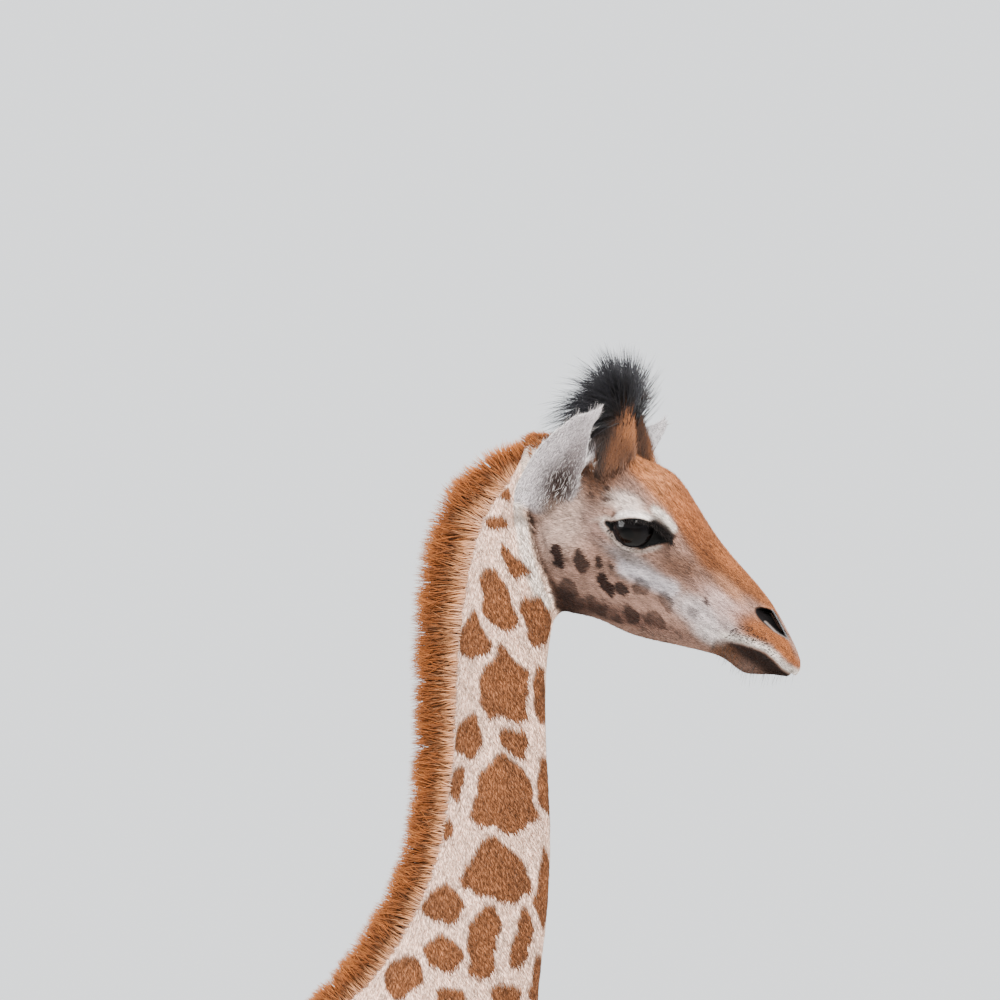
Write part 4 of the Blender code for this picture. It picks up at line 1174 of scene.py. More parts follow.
def coatPattern():
    # colour of a hair or of the skin under it, from the values laid on both
    tree = bpy.data.node_groups.new("coatPattern", "ShaderNodeTree")
    source = addSockets(tree, [
        ("Fray", "Float", 0.005), ("Hair contrast", "Float", 0.3), ("Streaks", "Float", 0.2),
        ("Cells", "Float", 12.5), ("Gap", "Float", 0.0065), ("Sway", "Float", 0.03)], "Colour", "Color")
    place = attribute(tree, "rootPlace", "Vector")
    drawn = attribute(tree, "streakPlace", "Vector")
    broad = noise(tree, place, patternSet["broad"], 3.0)
    thin = times(tree, noise(tree, drawn, patternSet["thinStreaks"], 2.0), 0.55)
    streaks = maths(tree, "MULTIPLY_ADD", noise(tree, drawn, patternSet["wideStreaks"], 1.0), 0.45, thin)
    streakTone = remap(tree, streaks, 0.36, 0.64, -1.0, 1.0)
    coarse, fine = (noise(tree, place, patternSet[name], 2.0) for name in ("coarse", "fine"))
    ragged = maths(tree, "ADD", minus(tree, coarse, 0.5), minus(tree, fine, 0.5))
    sway = vectors(tree, "SUBTRACT", noise(tree, place, patternSet["sway"], 2.0, 1), (0.5, 0.5, 0.5))
    sway = vectors(tree, "ADD", place, scaled(tree, sway, source["Sway"]))
    spot = vectors(tree, "MULTIPLY", sway, patternSet["cellShape"])
    inputs = {"Vector": spot, "Scale": source["Cells"], "Randomness": 0.9}
    cells = addNode(tree, "ShaderNodeTexVoronoi", inputs, feature="DISTANCE_TO_EDGE").outputs[0]
    cells = minus(tree, maths(tree, "DIVIDE", cells, source["Cells"]), source["Gap"])
    known = attribute(tree, "patchEdge")
    edge = maths(tree, "MULTIPLY_ADD", minus(tree, cells, known), attribute(tree, "wildPattern"), known)
    edge = maths(tree, "MULTIPLY_ADD", ragged, source["Fray"], edge)
    width = patternSet["edgeWidth"]
    mask = remap(tree, edge, -width, width, interpolation_type="SMOOTHSTEP")
    shade = times(tree, remap(tree, edge, 0.0, 0.016, 0.86, 1.06), remap(tree, broad, 0.3, 0.7, 0.84, 1.14))
    patch = scaled(tree, attribute(tree, "patchColour", "Color"), shade)
    ground = scaled(tree, attribute(tree, "groundColour", "Color"), remap(tree, broad, 0.3, 0.7, 0.95, 1.04))
    spread = minus(tree, attribute(tree, "tuftTone"), 0.5)
    shade = maths(tree, "MULTIPLY_ADD", spread, source["Hair contrast"], 1.0)
    shade = maths(tree, "MULTIPLY_ADD", streakTone, source["Streaks"], shade)
    addNode(tree, "NodeGroupOutput", {0: scaled(tree, mixed(tree, mask, ground, patch), shade)})
    return tree


pattern = coatPattern()


def coatMaterial(name, fray, contrast, bump, streaks):
    material, tree, shader = newMaterial(name, 0.72, 0.1 if bump else 0.25)
    colour = addNode(tree, "ShaderNodeGroup", node_tree=pattern)
    for socket, value in (("Fray", fray), ("Hair contrast", contrast), ("Streaks", streaks)):
        colour.inputs[socket].default_value = value
    tree.links.new(colour.outputs["Colour"], shader.inputs["Base Color"])
    if bump:
        bareness = attribute(tree, "bare")
        tree.links.new(remap(tree, bareness, 0.0, 1.0, 0.78, 0.5), shader.inputs["Roughness"])
        hairs = noise(tree, attribute(tree, "rootPlace", "Vector"), 900.0, 2.0)
        bumped(tree, shader, bump, times(tree, hairs, minus(tree, 1.15, bareness)))
    return material


skinMaterial = coatMaterial("calfSkin", 0.004, 0.0, 0.0012, 0.2)
furMaterial = coatMaterial("calfFur", 0.004, 0.45, 0, 0.17)
faceMaterial = coatMaterial("faceFur", 0.004, 0.85, 0, 0.34)


def hairMaterial(name, stops, contrast, sheen, bands=0.0):
    # colour runs from root to tip, each lock a little lighter or darker
    material, tree, shader = newMaterial(name, sheen, 0.28)
    clump = noise(tree, attribute(tree, "rootPlace", "Vector"), 60.0, 2.0)
    clump = times(tree, minus(tree, clump, 0.5), bands)
    moved = maths(tree, "ADD", attribute(tree, "share"), clump)
    luck = minus(tree, attribute(tree, "tuftTone"), 0.5)
    shade = maths(tree, "MULTIPLY_ADD", luck, contrast, 1.0)
    tree.links.new(scaled(tree, rampOf(tree, moved, stops), shade), shader.inputs["Base Color"])
    return material


# the short coat
coatSet = {
    # lie length and width of the tufts in mm, for each kind of skin
    "length": {"head": 6.5, "neck": 11, "trunk": 15, "leg": 9, "tail": 9, "ear": 7, "horn": 19, "eye": 4},
    "width": {"head": 1.1, "neck": 1.7, "trunk": 2.6, "leg": 1.9, "tail": 1.8, "ear": 0.9, "horn": 1.4,
              "eye": 0.8},
    # shares by which length and width shrink, and mm that are added to the length
    "muzzle": (0.45, 0.3), "jaw": 0.25, "eyelids": (0.5, 0.25), "crown": 4, "legs": (5, 7), "hornRoot": 6,
    "hoofTop": 0.062, "flatness": 0.4,
}
coatPieces = {
    # region: tufts, lift, spread, seed
    "coatHead": (46000, 0.32, 0.36, 1), "coatNeckRight": (36000, 0.17, 0.22, 2),
    "coatNeckLeft": (30000, 0.17, 0.22, 3), "coatTrunkRight": (44000, 0.15, 0.25, 4),
    "coatTrunkLeft": (44000, 0.15, 0.25, 5), "coatLegs": (47000, 0.16, 0.25, 6),
    "coatEars": (15000, 0.22, 0.25, 7), "coatHorns": (15000, 0.34, 0.40, 8)}


def alongSkin(ways, normals):
    return ways - normals * (ways * normals).sum(axis=1)[:, None]


def tuftSizes(points, places, lid, kind):
    # length and width of the tufts in mm
    isHead = isKind(kind, "head", "eye")
    muzzle = ease(places[:, 0], 260, 360) * isHead
    crown = isHead * ease(places[:, 1], 45, 70) * (1 - ease(places[:, 0], 160, 220))
    length = byKind(kind, coatSet["length"]) * (1 - coatSet["muzzle"][0] * muzzle) + coatSet["crown"] * crown
    width = byKind(kind, coatSet["width"]) * (1 - coatSet["muzzle"][1] * muzzle)
    foot, rise = coatSet["legs"]
    length = np.where(isKind(kind, "leg"), foot + rise * ease(points[:, 2], 0.4, 0.95), length)
    aroundEye = isHead * (1 - ease(lid, 4, 16))
    length = length * (1 - coatSet["jaw"] * isHead * ease(-places[:, 1], 10, 50))
    length = length * (1 - coatSet["eyelids"][0] * aroundEye)
    return length, width * (1 - coatSet["eyelids"][1] * aroundEye)


def layCoat(mesh, points, normals, places, side, lid, bare, kind):
    isHead, isLimb = isKind(kind, "head", "eye"), isKind(kind, "leg", "tail")
    isNeck, isTrunk, isLeg = (isKind(kind, name) for name in ("neck", "trunk", "leg"))
    isEar, isHorn = isKind(kind, "ear"), isKind(kind, "horn")
    length, width = tuftSizes(points, places, lid, kind)
    along, up, out = headWays
    outward = out * np.where(side == 0, 1, side)[:, None]
    cheek = ease(places[:, 2], 15, 45)[:, None] * ease(-places[:, 1], -30, 60)[:, None]
    hornWay = unit(fromHead((43, 122, 0)) - fromHead((90, 50, 0)))
    way = -along - 0.7 * cheek * up
    way[isNeck] = -level + 0.35 * ahead
    way[isTrunk] = -ahead - 0.75 * level
    way[isTrunk & (bodyMiddle - points[:, 1] > 0.0)] = -level - 0.2 * ahead
    way[isLimb] = -level
    way[isEar] = (up * 1.0 - 0.15 * along + 0.1 * outward)[isEar]
    way[isHorn] = hornWay
    root = ((places - np.array((92, 58, 30))) / np.array((36, 26, 30))) ** 2
    root = isHead * np.exp(-root @ np.ones(3))
    way = way * (1 - 0.85 * root[:, None]) + hornWay * 0.85 * root[:, None]
    length = length + coatSet["hornRoot"] * root
    way = blurred(unit(alongSkin(way, normals)), edgesOf(readFaces(mesh, 3)), 5)
    writeValues(mesh, "lie", unit(alongSkin(way, normals)) * (length * mm)[:, None])
    # fine streaks are drawn out along the main way of each part
    main = np.tile(-level, (len(points), 1))
    main[isHead], main[isHorn] = -along, hornWay
    main[isNeck] = unit(-level + 0.35 * ahead)
    main[isTrunk] = unit(-ahead - 0.75 * level)
    main[isEar] = unit(up - 0.15 * along)
    drawn = points - 0.82 * main * (points * main).sum(axis=1)[:, None]
    writeValues(mesh, "streakPlace", drawn)
    writeValues(mesh, "tuftWidth", width * mm)
    hoofTop = coatSet["hoofTop"]
    share = (1 - ease(bare, 0.2, 0.6)) * 12 / (length * width)
    share *= points[:, 2] > hoofTop
    share = np.where(isLeg, share * ease(points[:, 2], hoofTop, 0.07), share)
    right = points[:, 0] < 0
    regions = {
        "coatHead": isHead, "coatNeckRight": isNeck & right, "coatNeckLeft": isNeck & ~right,
        "coatTrunkRight": isTrunk & right, "coatTrunkLeft": isTrunk & ~right, "coatLegs": isLimb,
        "coatEars": isEar, "coatHorns": isHorn}
    shares = {name: share * region for name, region in regions.items()}
    for name, values in shares.items():
        writeValues(mesh, name, values)
    return shares


def alongBody(rows):
    return np.array([(0, bodyMiddle - forward, height) for forward, height in rows])


# the middle lines that each unwrap goes round
headPath = [(-40, -40, 0), (60, -30, 0), (180, -20, 0), (300, -5, 0), (450, 0, 0)]
headPath = np.array([fromHead(place) for place in headPath])
neckPath = alongBody([(0.10, 2.10), (0.045, 1.97), (0.025, 1.80), (0.018, 1.62), (-0.04, 1.40)])
trunkPath = alongBody([(0.06, 1.40), (-0.05, 1.28), (-0.25, 1.14), (-0.45, 1.10), (-0.70, 1.08)])


def unwrapAround(roots, line):
    # share along the line and turn round it, both 0 to 1
    steps = np.linspace(0, len(line) - 1, 90)
    dense = np.stack([np.interp(steps, np.arange(len(line)), line[:, axis]) for axis in range(3)], 1)
    best = np.full(len(roots), 1e9)
    index = np.zeros(len(roots), int)
    for i, place in enumerate(dense):
        gap = ((roots - place) ** 2).sum(axis=1)
        closer = gap < best
        best[closer] = gap[closer]
        index[closer] = i
    ways = unit(np.gradient(dense, axis=0))[index]
    away = roots - dense[index]
    share = index / len(dense) + (away * ways).sum(axis=1) / np.linalg.norm(line[-1] - line[0])
    side = np.array((1.0, 0, 0)) - ways * ways[:, :1]
    side = unit(side)
    high = np.cross(ways, side)
    turn = np.arctan2((away * side).sum(axis=1), (away * high).sum(axis=1)) / math.tau + 0.5
    return np.stack((turn, np.clip(share, 0, 1)), 1)


def unwrapLimbs(roots):
    # the four legs and the tail side by side
    column = (roots[:, 0] > 0) * 1 + (roots[:, 1] > 0.1) * 2
    column = np.where((roots[:, 1] > 0.49) & (np.abs(roots[:, 0]) < 0.035), 4, column)
    flat = np.zeros((len(roots), 2))
    for number in range(5):
        mine = column == number
        if not mine.any():
            continue
        middle = roots[mine].mean(axis=0)
        turn = np.arctan2(roots[mine, 0] - middle[0], roots[mine, 1] - middle[1]) / math.tau + 0.5
        flat[mine] = np.stack(((number + 0.04 + 0.92 * turn) / 5, (roots[mine, 2] - 0.05) / 1.1), 1)
    return flat


def unwrapEars(roots):
    places = toHead(roots)
    front = (places[:, 0] > 57) * 0.5
    flat = np.stack((0.25 * (places[:, 0] + 10) / 140 + (places[:, 2] > 0) * 0.25 + front,
                     (places[:, 1] + 60) / 200), 1)
    return np.clip(flat, 0, 1)


def unwrapHorns(roots):
    places = toHead(roots)
    right = places[:, 2] > 0
    behind = places[:, 0] - 66 + 0.6 * (places[:, 1] - 86)
    turn = np.arctan2(behind, np.abs(places[:, 2]) - 38) / math.tau + 0.5
    return np.stack((0.5 * turn + 0.5 * right, np.clip((places[:, 1] - 10) / 150, 0, 1)), 1)


def around(line):
    return lambda roots: unwrapAround(roots, line)


unwraps = {
    "coatHead": around(headPath), "coatNeckRight": around(neckPath), "coatNeckLeft": around(neckPath),
    "coatTrunkRight": around(trunkPath), "coatTrunkLeft": around(trunkPath), "coatLegs": unwrapLimbs,
    "coatEars": unwrapEars, "coatHorns": unwrapHorns}


bakeSet = {"patch": 0.003, "margin": 0.002, "room": 0.993}


def bakeMap(mesh, unwrap):
    # each tuft is a small patch at its root's place on the unwrap
    roots, across = readValues(mesh, "rootPlace", 3), readValues(mesh, "across", 3)
    share = readValues(mesh, "share")
    flat = bakeSet["margin"] + bakeSet["room"] * unwrap(roots)
    flat += np.stack((np.clip(across[:, 0] + 0.5, 0, 1), np.clip(share, 0, 1)), 1) * bakeSet["patch"]
    corners = np.empty(len(mesh.loops), np.int32)
    mesh.loops.foreach_get("vertex_index", corners)
    layer = mesh.uv_layers.new(name="OFBake")
    layer.data.foreach_set("uv", flat[corners].astype(np.float32).ravel())


needed = ("position", "rootPlace", "streakPlace", "wildPattern", "groundColour", "patchColour", "patchEdge",
          "tuftTone", "share")


def tidyHair(obj, unwrap, material):
    mesh = obj.data
    bakeMap(mesh, unwrap)
    spare = [layer.name for layer in mesh.attributes if layer.domain == "POINT" and layer.name not in needed]
    for name in spare:
        mesh.attributes.remove(mesh.attributes[name])
    mesh.materials.clear()
    mesh.materials.append(material)
    mesh.shade_smooth()
    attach(obj, "root")
    return obj


def triangleArea(points, faces):
    corner = points[faces[:, 0]]
    return 0.5 * np.linalg.norm(np.cross(points[faces[:, 1]] - corner, points[faces[:, 2]] - corner), axis=1)


def grown(name, mesh, group, inputs):
    # runs a hair tree on a mesh and gives the hair as an object
    obj = makeObject(name + "Growing", mesh)
    grower = obj.modifiers.new("grow", "NODES")
    grower.node_group = group
    for item in group.interface.items_tree:
        if item.name in inputs:
            grower[item.identifier] = inputs[item.name]
    obj = finished(obj, name)
    print(name, len(obj.data.polygons), "triangles", flush=True)
    return obj


def growCoat(name, shares, areas, faces):
    count, lift, spread, seed = coatPieces[name]
    amount = (areas * shares[name][faces].mean(axis=1)).sum()
    material = faceMaterial if name in ("coatHead", "coatHorns") else furMaterial
    obj = grown(name, skin.data, coats, {
        "Region": name, "Density": float(count / amount), "Seed": seed, "Lift": lift, "Spread": spread,
        "Flatness": coatSet["flatness"], "Blade": spike, "Material": material})
    return tidyHair(obj, unwraps[name], material)


shares = layCoat(skin.data, points, normals, places, side, lid, bare, kind)
areas = triangleArea(points, faces)
for name in coatPieces:
    growCoat(name, shares, areas, faces)
skin.data.materials.append(skinMaterial)
for layer in ["lie", "tuftWidth"] + list(coatPieces):
    skin.data.attributes.remove(skin.data.attributes[layer])
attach(skin, "root")
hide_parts(*fleshNodes)


# long hair: mane, horn tufts, tail
def hairRow(root, reach, bend, width, side, flat=0.6, sway=None):
    # one lock: its root, its way to the tip, its curl, and the way across it
    return root, reach, bend, bend * 0 if sway is None else sway, width, width * flat, side


def growLocks(name, rows, blade, material, unwrap):
    place, reach, bend, sway, width, thick, sideWay = (np.array(column, float) for column in zip(*rows))
    across = unit(sideWay)
    upWay = unit(np.cross(reach, across))
    mesh = makeMesh(name, place, [])
    for layer, values in (("rootPlace", place), ("reach", reach), ("bend", bend), ("sway", sway),
                          ("sideWay", across * width[:, None]), ("upWay", upWay * thick[:, None]),
                          ("tuftTone", chance.random(len(place)))):
        writeValues(mesh, layer, values)
    obj = grown(name, mesh, locks, {"Blade": blade, "Material": material})
    return tidyHair(obj, unwrap, material)


maneSet = {"locks": 10200, "width": 1.75, "rootDepth": 0.010, "lean": 0.10, "untidy": 0.16, "clump": 0.10,
           "edgeShorter": 0.30, "splay": 0.10, "curl": 0.16, "spread": 0.95, "pollLocks": 1300,
           "pollTop": 2.16, "pollSpan": (0.066, 0.134), "pollSpread": 0.017, "pollLength": (0.009, 0.021)}


def maneRows():
    crest = curveThrough(napeLine, 8, closed=False)
    line = alongBody(crest[:, :2])
    ways = unit(np.gradient(line, axis=0))
    lengths = np.concatenate([[0], np.cumsum(np.linalg.norm(np.diff(line, axis=0), axis=1))])
    depth, untidy = maneSet["rootDepth"], maneSet["untidy"]
    rows = []
    for _ in range(maneSet["locks"]):
        at = chance.random() * lengths[-1]
        i = min(np.searchsorted(lengths, at), len(line) - 1)
        way = ways[i]
        outward = outwardFrom(way)
        height, half = crest[i, 2], crest[i, 3]
        offset = chance.uniform(-1, 1)
        base = line[i] + way * chance.uniform(-0.004, 0.004)
        base = base + np.array((offset * half * maneSet["spread"], 0, 0))
        base = base - outward * (depth + 0.009 * offset ** 2)
        clump = math.sin(at * 210) * 0.5 + math.sin(at * 87 + 1.7)
        tall = height * (1.0 - maneSet["edgeShorter"] * offset ** 2) * chance.uniform(0.86, 1.06) + depth
        reach = outward + way * (maneSet["lean"] + maneSet["clump"] * clump + chance.normal(0, untidy))
        reach = reach + np.array((-offset * maneSet["splay"] + chance.normal(0, untidy * 0.5), 0, 0))
        bend = way * (0.08 * clump + chance.normal(0, 0.12))
        bend = bend + np.array((-offset * maneSet["curl"] + chance.normal(0, 0.08), 0, 0))
        side = np.cross(reach, np.array((1.0, 0, 0)))
        width = maneSet["width"] * mm * chance.uniform(0.7, 1.3)
        rows.append(hairRow(base, unit(reach) * tall, bend * tall, width, side))
    for _ in range(maneSet["pollLocks"]):
        forward = chance.uniform(*maneSet["pollSpan"])
        x = chance.normal(0, maneSet["pollSpread"])
        hit = skinTree.ray_cast(Vector((x, bodyMiddle - forward, 2.5)), Vector((0, 0, -1)))[0]
        if hit is None or hit.z > maneSet["pollTop"]:
            continue
        clump = math.sin(forward * 260 + 2 * math.sin(x * 190))
        back = 1.0 - ease(forward, 0.09, 0.15) * 0.5
        reach = (x * 9 + chance.normal(0, 0.16), 0.55 * back + 0.22 * clump + chance.normal(0, 0.15), 1.0)
        reach = np.array(reach)
        tall = chance.uniform(*maneSet["pollLength"]) * (1.15 - 5 * abs(x))
        bend = np.array((chance.normal(0, 0.1), 0.18 + 0.1 * clump, -0.15))
        width = maneSet["width"] * mm * chance.uniform(0.7, 1.3)
        side = np.cross(reach, np.array((1.0, 0.3, 0)))
        rows.append(hairRow(np.array(hit) - (0, 0, 0.003), unit(reach) * tall, bend * tall, width, side))
    return rows


def unwrapMane(roots):
    top = napeLine[0, 1]
    return np.stack((np.clip((roots[:, 0] + 0.03) / 0.06, 0, 1),
                     np.clip((top + 0.03 - roots[:, 2]) / 0.85, 0, 1)), 1)


maneMaterial = hairMaterial("maneHair", [
    (0.0, (206, 172, 148)), (0.32, (186, 142, 106)), (0.56, (124, 81, 38)), (0.80, (160, 104, 52)),
    (1.0, (196, 138, 82))], 0.6, 0.7, 0.45)
mane = growLocks("maneHair", maneRows(), lock, maneMaterial, unwrapMane)
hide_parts("mane")

hornSet = {"base": (90, 50, 33), "tip": (43, 122, 43), "strands": {1: 3200, -1: 1900}, "length": 64,
           "turns": {1: (-14, 108), -1: (-32, 26)}, "clumps": 38, "width": 1.15, "roots": (0.60, 1.08),
           "upright": (-0.64, 0.77, 0.0), "backward": (-0.77, -0.64, 0.0), "spread": 0.36,
           "sizes": (0.62, 1.14), "sway": 0.16}


def fromSide(way, side):
    return np.array((way[0], way[1], way[2] * side)) @ headWays


def hornHairRows():
    # each clump of strands leaves at its own turn, from upright to straight back
    rows = []
    tip = np.array(hornSet["tip"], float)
    base = np.array(hornSet["base"], float)
    up = unit(tip - base)
    upright, backward = np.array(hornSet["upright"]), np.array(hornSet["backward"])
    across = unit(np.cross(up, backward))
    behind = np.cross(across, up)
    count = hornSet["clumps"]
    for side, (first, last) in hornSet["turns"].items():
        moved = np.zeros(3) if side > 0 else np.array((*hornLean, 0.0))
        clumps = (chance.uniform(first, last, count), chance.normal(0, hornSet["spread"], count),
                  chance.uniform(*hornSet["sizes"], count))
        clumps = np.stack(clumps, 1)
        for _ in range(hornSet["strands"][side]):
            share = chance.uniform(*hornSet["roots"])
            angle = chance.uniform(0, math.tau)
            radius = 17 - 6 * (share - 0.72) / 0.36
            ring = across * math.cos(angle) + behind * math.sin(angle)
            root = moved * share + base + (tip - base) * share + ring * radius * chance.uniform(0.5, 0.95)
            turn, spread, size = clumps[chance.integers(count)]
            turn = math.radians(turn + chance.normal(0, 4.5))
            spread += chance.normal(0, 0.07)
            lean = max(math.sin(turn), 0)
            way = unit(upright * math.cos(turn) + backward * math.sin(turn) + across * spread + ring * 0.2)
            long = hornSet["length"] * size * chance.uniform(0.6, 1.05) * (1.3 - 0.05 * lean)
            curl = backward * long * (0.04 + 0.12 * lean)
            curl = curl - upright * long * lean * (0.08 + 0.45 * chance.random())
            sway = (backward * 0.5 - upright * 0.5) * long * hornSet["sway"] * chance.random()
            curl = curl + across * spread * 4
            root, way, curl, sway = (fromSide(part, side) * mm for part in (root, way * long, curl, sway))
            width = hornSet["width"] * mm * chance.uniform(0.6, 1.3)
            rows.append(hairRow(headOrigin + root, way, curl, width, fromSide(across, side), sway=sway))
    return rows


darkMaterial = hairMaterial("darkHair", [
    (0.0, (62, 46, 38)), (0.3, (30, 27, 30)), (1.0, (42, 42, 52))], 0.6, 0.45)
hornHair = growLocks("hornHair", hornHairRows(), strand, darkMaterial, unwrapHorns)
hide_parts("horn_tuft_left", "horn_tuft_right")

faceSet = {"lashes": 220, "lowerLashes": 36, "lashWidth": 0.8, "stubble": 240, "stubbleLength": 3.2,
           "stubbleWidth": 1.1, "stubbleThick": 0.8, "whiskers": 70, "whiskerLength": (9, 22),
           "whiskerWidth": 0.32, "whiskerThick": 0.25, "earHairs": 2000, "earHairLength": (7, 15),
           "earHairWidth": 0.6}


def onSkin(along, up, side):
    # where the side of the head is met at this place
    start, way = fromHead((along, up, 140 * side)), -headWays[2] * side
    hit, normal = skinTree.ray_cast(Vector(start), Vector(way))[:2]
    return (None, None) if hit is None else (np.array(hit), np.array(normal))


def lashRow(side, upper):
    share = chance.random() ** 0.6
    line = curveThrough(lidLine[:8] if upper else lidLine[8:], 6, closed=False)
    spot = line[int(share * (len(line) - 1))] + chance.normal(0, 0.7, 2)
    spot = spot + np.array((0.0, 1.6 if upper else -1.4))
    hit, normal = onSkin(spot[0], spot[1], side)
    if hit is None:
        return []
    if upper:
        long = (8 + 15 * share) * chance.uniform(0.75, 1.15)
        reach = (0.25 + 0.55 * share + chance.normal(0, 0.12), -0.55 + chance.normal(0, 0.12), 0.75)
        bend = (0.05, 0.35, 0.1)
    else:
        long = chance.uniform(4, 7)
        reach, bend = (chance.normal(0, 0.2), -0.7, 0.7), (0, -0.1, 0)
    reach, bend = (fromSide(way, side) * long * mm for way in (reach, bend))
    width = faceSet["lashWidth"] * mm * chance.uniform(0.7, 1.2)
    return [hairRow(hit - normal * 0.001, reach, bend, width, fromSide((1, 0, 0), side), 0.7)]


def faceHairRows():
    rows = []
    for side in (1, -1):
        for number in range(faceSet["lashes"] + faceSet["lowerLashes"]):
            rows += lashRow(side, number < faceSet["lashes"])
        for _ in range(faceSet["stubble"]):
            along, drop = chance.uniform(345, 445), chance.uniform(3, 26)
            up = np.interp(along, *np.array(mouthLine).T) + drop
            hit, normal = onSkin(along, up, side)
            if hit is None or near(np.array([(along, up, 30)]), "aboveNostril")[0]:
                continue
            reach = fromSide((-0.5, -0.6, 0.4), side) * faceSet["stubbleLength"] * mm
            across, width = fromSide((0.6, -0.6, 0), side), faceSet["stubbleWidth"]
            flat = faceSet["stubbleThick"] / width
            rows.append(hairRow(hit - normal * 0.0006, reach, normal * 0, width * mm, across, flat))
        for _ in range(faceSet["whiskers"]):
            along = chance.uniform(335, 440)
            up = np.interp(along, [335, 380, 415, 450], [-44, -46, -36, -10]) + chance.uniform(-2, 14)
            hit, normal = onSkin(along, up, side)
            if hit is None:
                continue
            long = chance.uniform(*faceSet["whiskerLength"])
            reach, bend = (0.35 + chance.normal(0, 0.2), -0.8, 0.45), (0.1, -0.15, 0)
            reach, bend = (fromSide(way, side) * long * mm for way in (reach, bend))
            across, width = fromSide((1, 0, 0), side), faceSet["whiskerWidth"]
            flat = faceSet["whiskerThick"] / width
            rows.append(hairRow(hit - normal * 0.001, reach, bend, width * mm, across, flat))
    return rows


lashMaterial = hairMaterial("lashHair", [
    (0.0, (22, 18, 18)), (0.5, (30, 24, 24)), (1.0, (52, 42, 38))], 0.3, 0.4)
growLocks("faceHair", faceHairRows(), strand, lashMaterial, around(headPath))


def earHairRows():
    inner = isKind(kind, "ear") & (earFacing > 0.25) & (places[:, 2] > 50) & (places[:, 0] < 80)
    rows = []
    for index in chance.choice(np.nonzero(inner)[0], faceSet["earHairs"]):
        signed = 1 if side[index] >= 0 else -1
        long = chance.uniform(*faceSet["earHairLength"])
        reach = fromSide((-0.25 + chance.normal(0, 0.25), 0.75 + chance.normal(0, 0.2), 0.1), signed)
        reach = (reach + normals[index] * 0.55) * long * mm
        bend = -normals[index] * 0.3 * long * mm
        width = faceSet["earHairWidth"] * mm * chance.uniform(0.6, 1.2)
        rows.append(hairRow(points[index], reach, bend, width, fromSide((1, 0, 0), signed)))
    return rows


earMaterial = hairMaterial("earHair", [
    (0.0, (120, 108, 104)), (0.4, (190, 184, 182)), (1.0, (226, 224, 224))], 0.5, 0.6)
growLocks("earHair", earHairRows(), spike, earMaterial, unwrapEars)

tailSet = {"strands": 1300, "top": 0.822, "bottom": 0.57, "forward": -0.7115, "width": 1.8,
           "rootRadius": 0.0075, "rootSpan": 0.045, "fan": 0.028, "curl": 0.020}


def tailRows():
    rows = []
    for _ in range(tailSet["strands"]):
        share = chance.random()
        turn = chance.uniform(0, math.tau)
        ring = np.array((math.cos(turn), math.sin(turn), 0))
        height = tailSet["top"] - tailSet["rootSpan"] * share
        root = np.array((0, bodyMiddle - tailSet["forward"], height)) + ring * tailSet["rootRadius"]
        long = (height - tailSet["bottom"]) * chance.uniform(0.55, 1.0)
        reach = np.array((0, 0, -long)) + ring * tailSet["fan"] * chance.uniform(0.4, 1.2)
        bend = -ring * tailSet["curl"] * chance.random() + np.array((0, 0.006, 0))
        bend = bend + np.array((chance.normal(0, 0.004), chance.normal(0, 0.004), 0))
        width = tailSet["width"] * mm * chance.uniform(0.7, 1.3)
        rows.append(hairRow(root, reach, bend, width, np.cross(ring, (0, 0, 1.0)), sway=bend * 0.2))
    return rows


def unwrapTail(roots):
    turn = np.arctan2(roots[:, 0], roots[:, 1] - (bodyMiddle - tailSet["forward"])) / math.tau + 0.5
    return np.stack((turn, (roots[:, 2] - 0.77) / 0.06), 1)


tailHair = growLocks("tailHair", tailRows(), strand, darkMaterial, unwrapTail)
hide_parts("tail_tuft")


# eyes
def eyeMesh(side):
    # rings round the line of sight, the clear front a little proud
    gaze = unit(np.array(eyeSet["gaze"]))
    first = unit(np.cross(gaze, (0, 1, 0)))
    second = np.cross(gaze, first)
    rings, sides = 40, 56
    local = [(0, 0, 1.0)]
    for ring in range(1, rings):
        angle = math.pi * ring / rings
        for k in range(sides):
            turn = math.tau * k / sides
            flat = (math.sin(angle) * math.cos(turn), math.sin(angle) * math.sin(turn))
            local.append((*flat, math.cos(angle)))
    local.append((0, 0, -1.0))
    local = np.array(local)
    triangles = [(0, 1 + k, 1 + (k + 1) % sides) for k in range(sides)]
    for ring in range(rings - 2):
        for k in range(sides):
            a, b = 1 + ring * sides + k, 1 + ring * sides + (k + 1) % sides
            triangles += [(a, a + sides, b + sides), (a, b + sides, b)]
    last = len(local) - 1
    triangles += [(last, last - sides + (k + 1) % sides, last - sides + k) for k in range(sides)]
    angle = np.degrees(np.arccos(np.clip(local[:, 2], -1, 1)))
    radius = eyeSet["radius"] * (1 + 0.045 * (1 - ease(angle, 12, 38)))
    spots = np.array(eyeSet["centre"]) + (local @ np.array((first, second, gaze))) * radius[:, None]
    spots[:, 2] *= side
    triangles = np.array(triangles)
    points = fromHead(spots)
    a, b, c = (points[triangles[:, corner]] - points[0] for corner in range(3))
    if np.einsum("ij,ij->i", a, np.cross(b, c)).sum() < 0:
        triangles = triangles[:, ::-1]
    mesh = makeMesh("eye", points, triangles)
    writeValues(mesh, "gazePlace", local)
    return mesh


eyeColours = {"pupil": (10, 10, 13), "rim": (34, 31, 34), "white": (15, 12, 12),
              "iris": [(0.0, (14, 12, 14)), (1.0, (34, 26, 25))]}


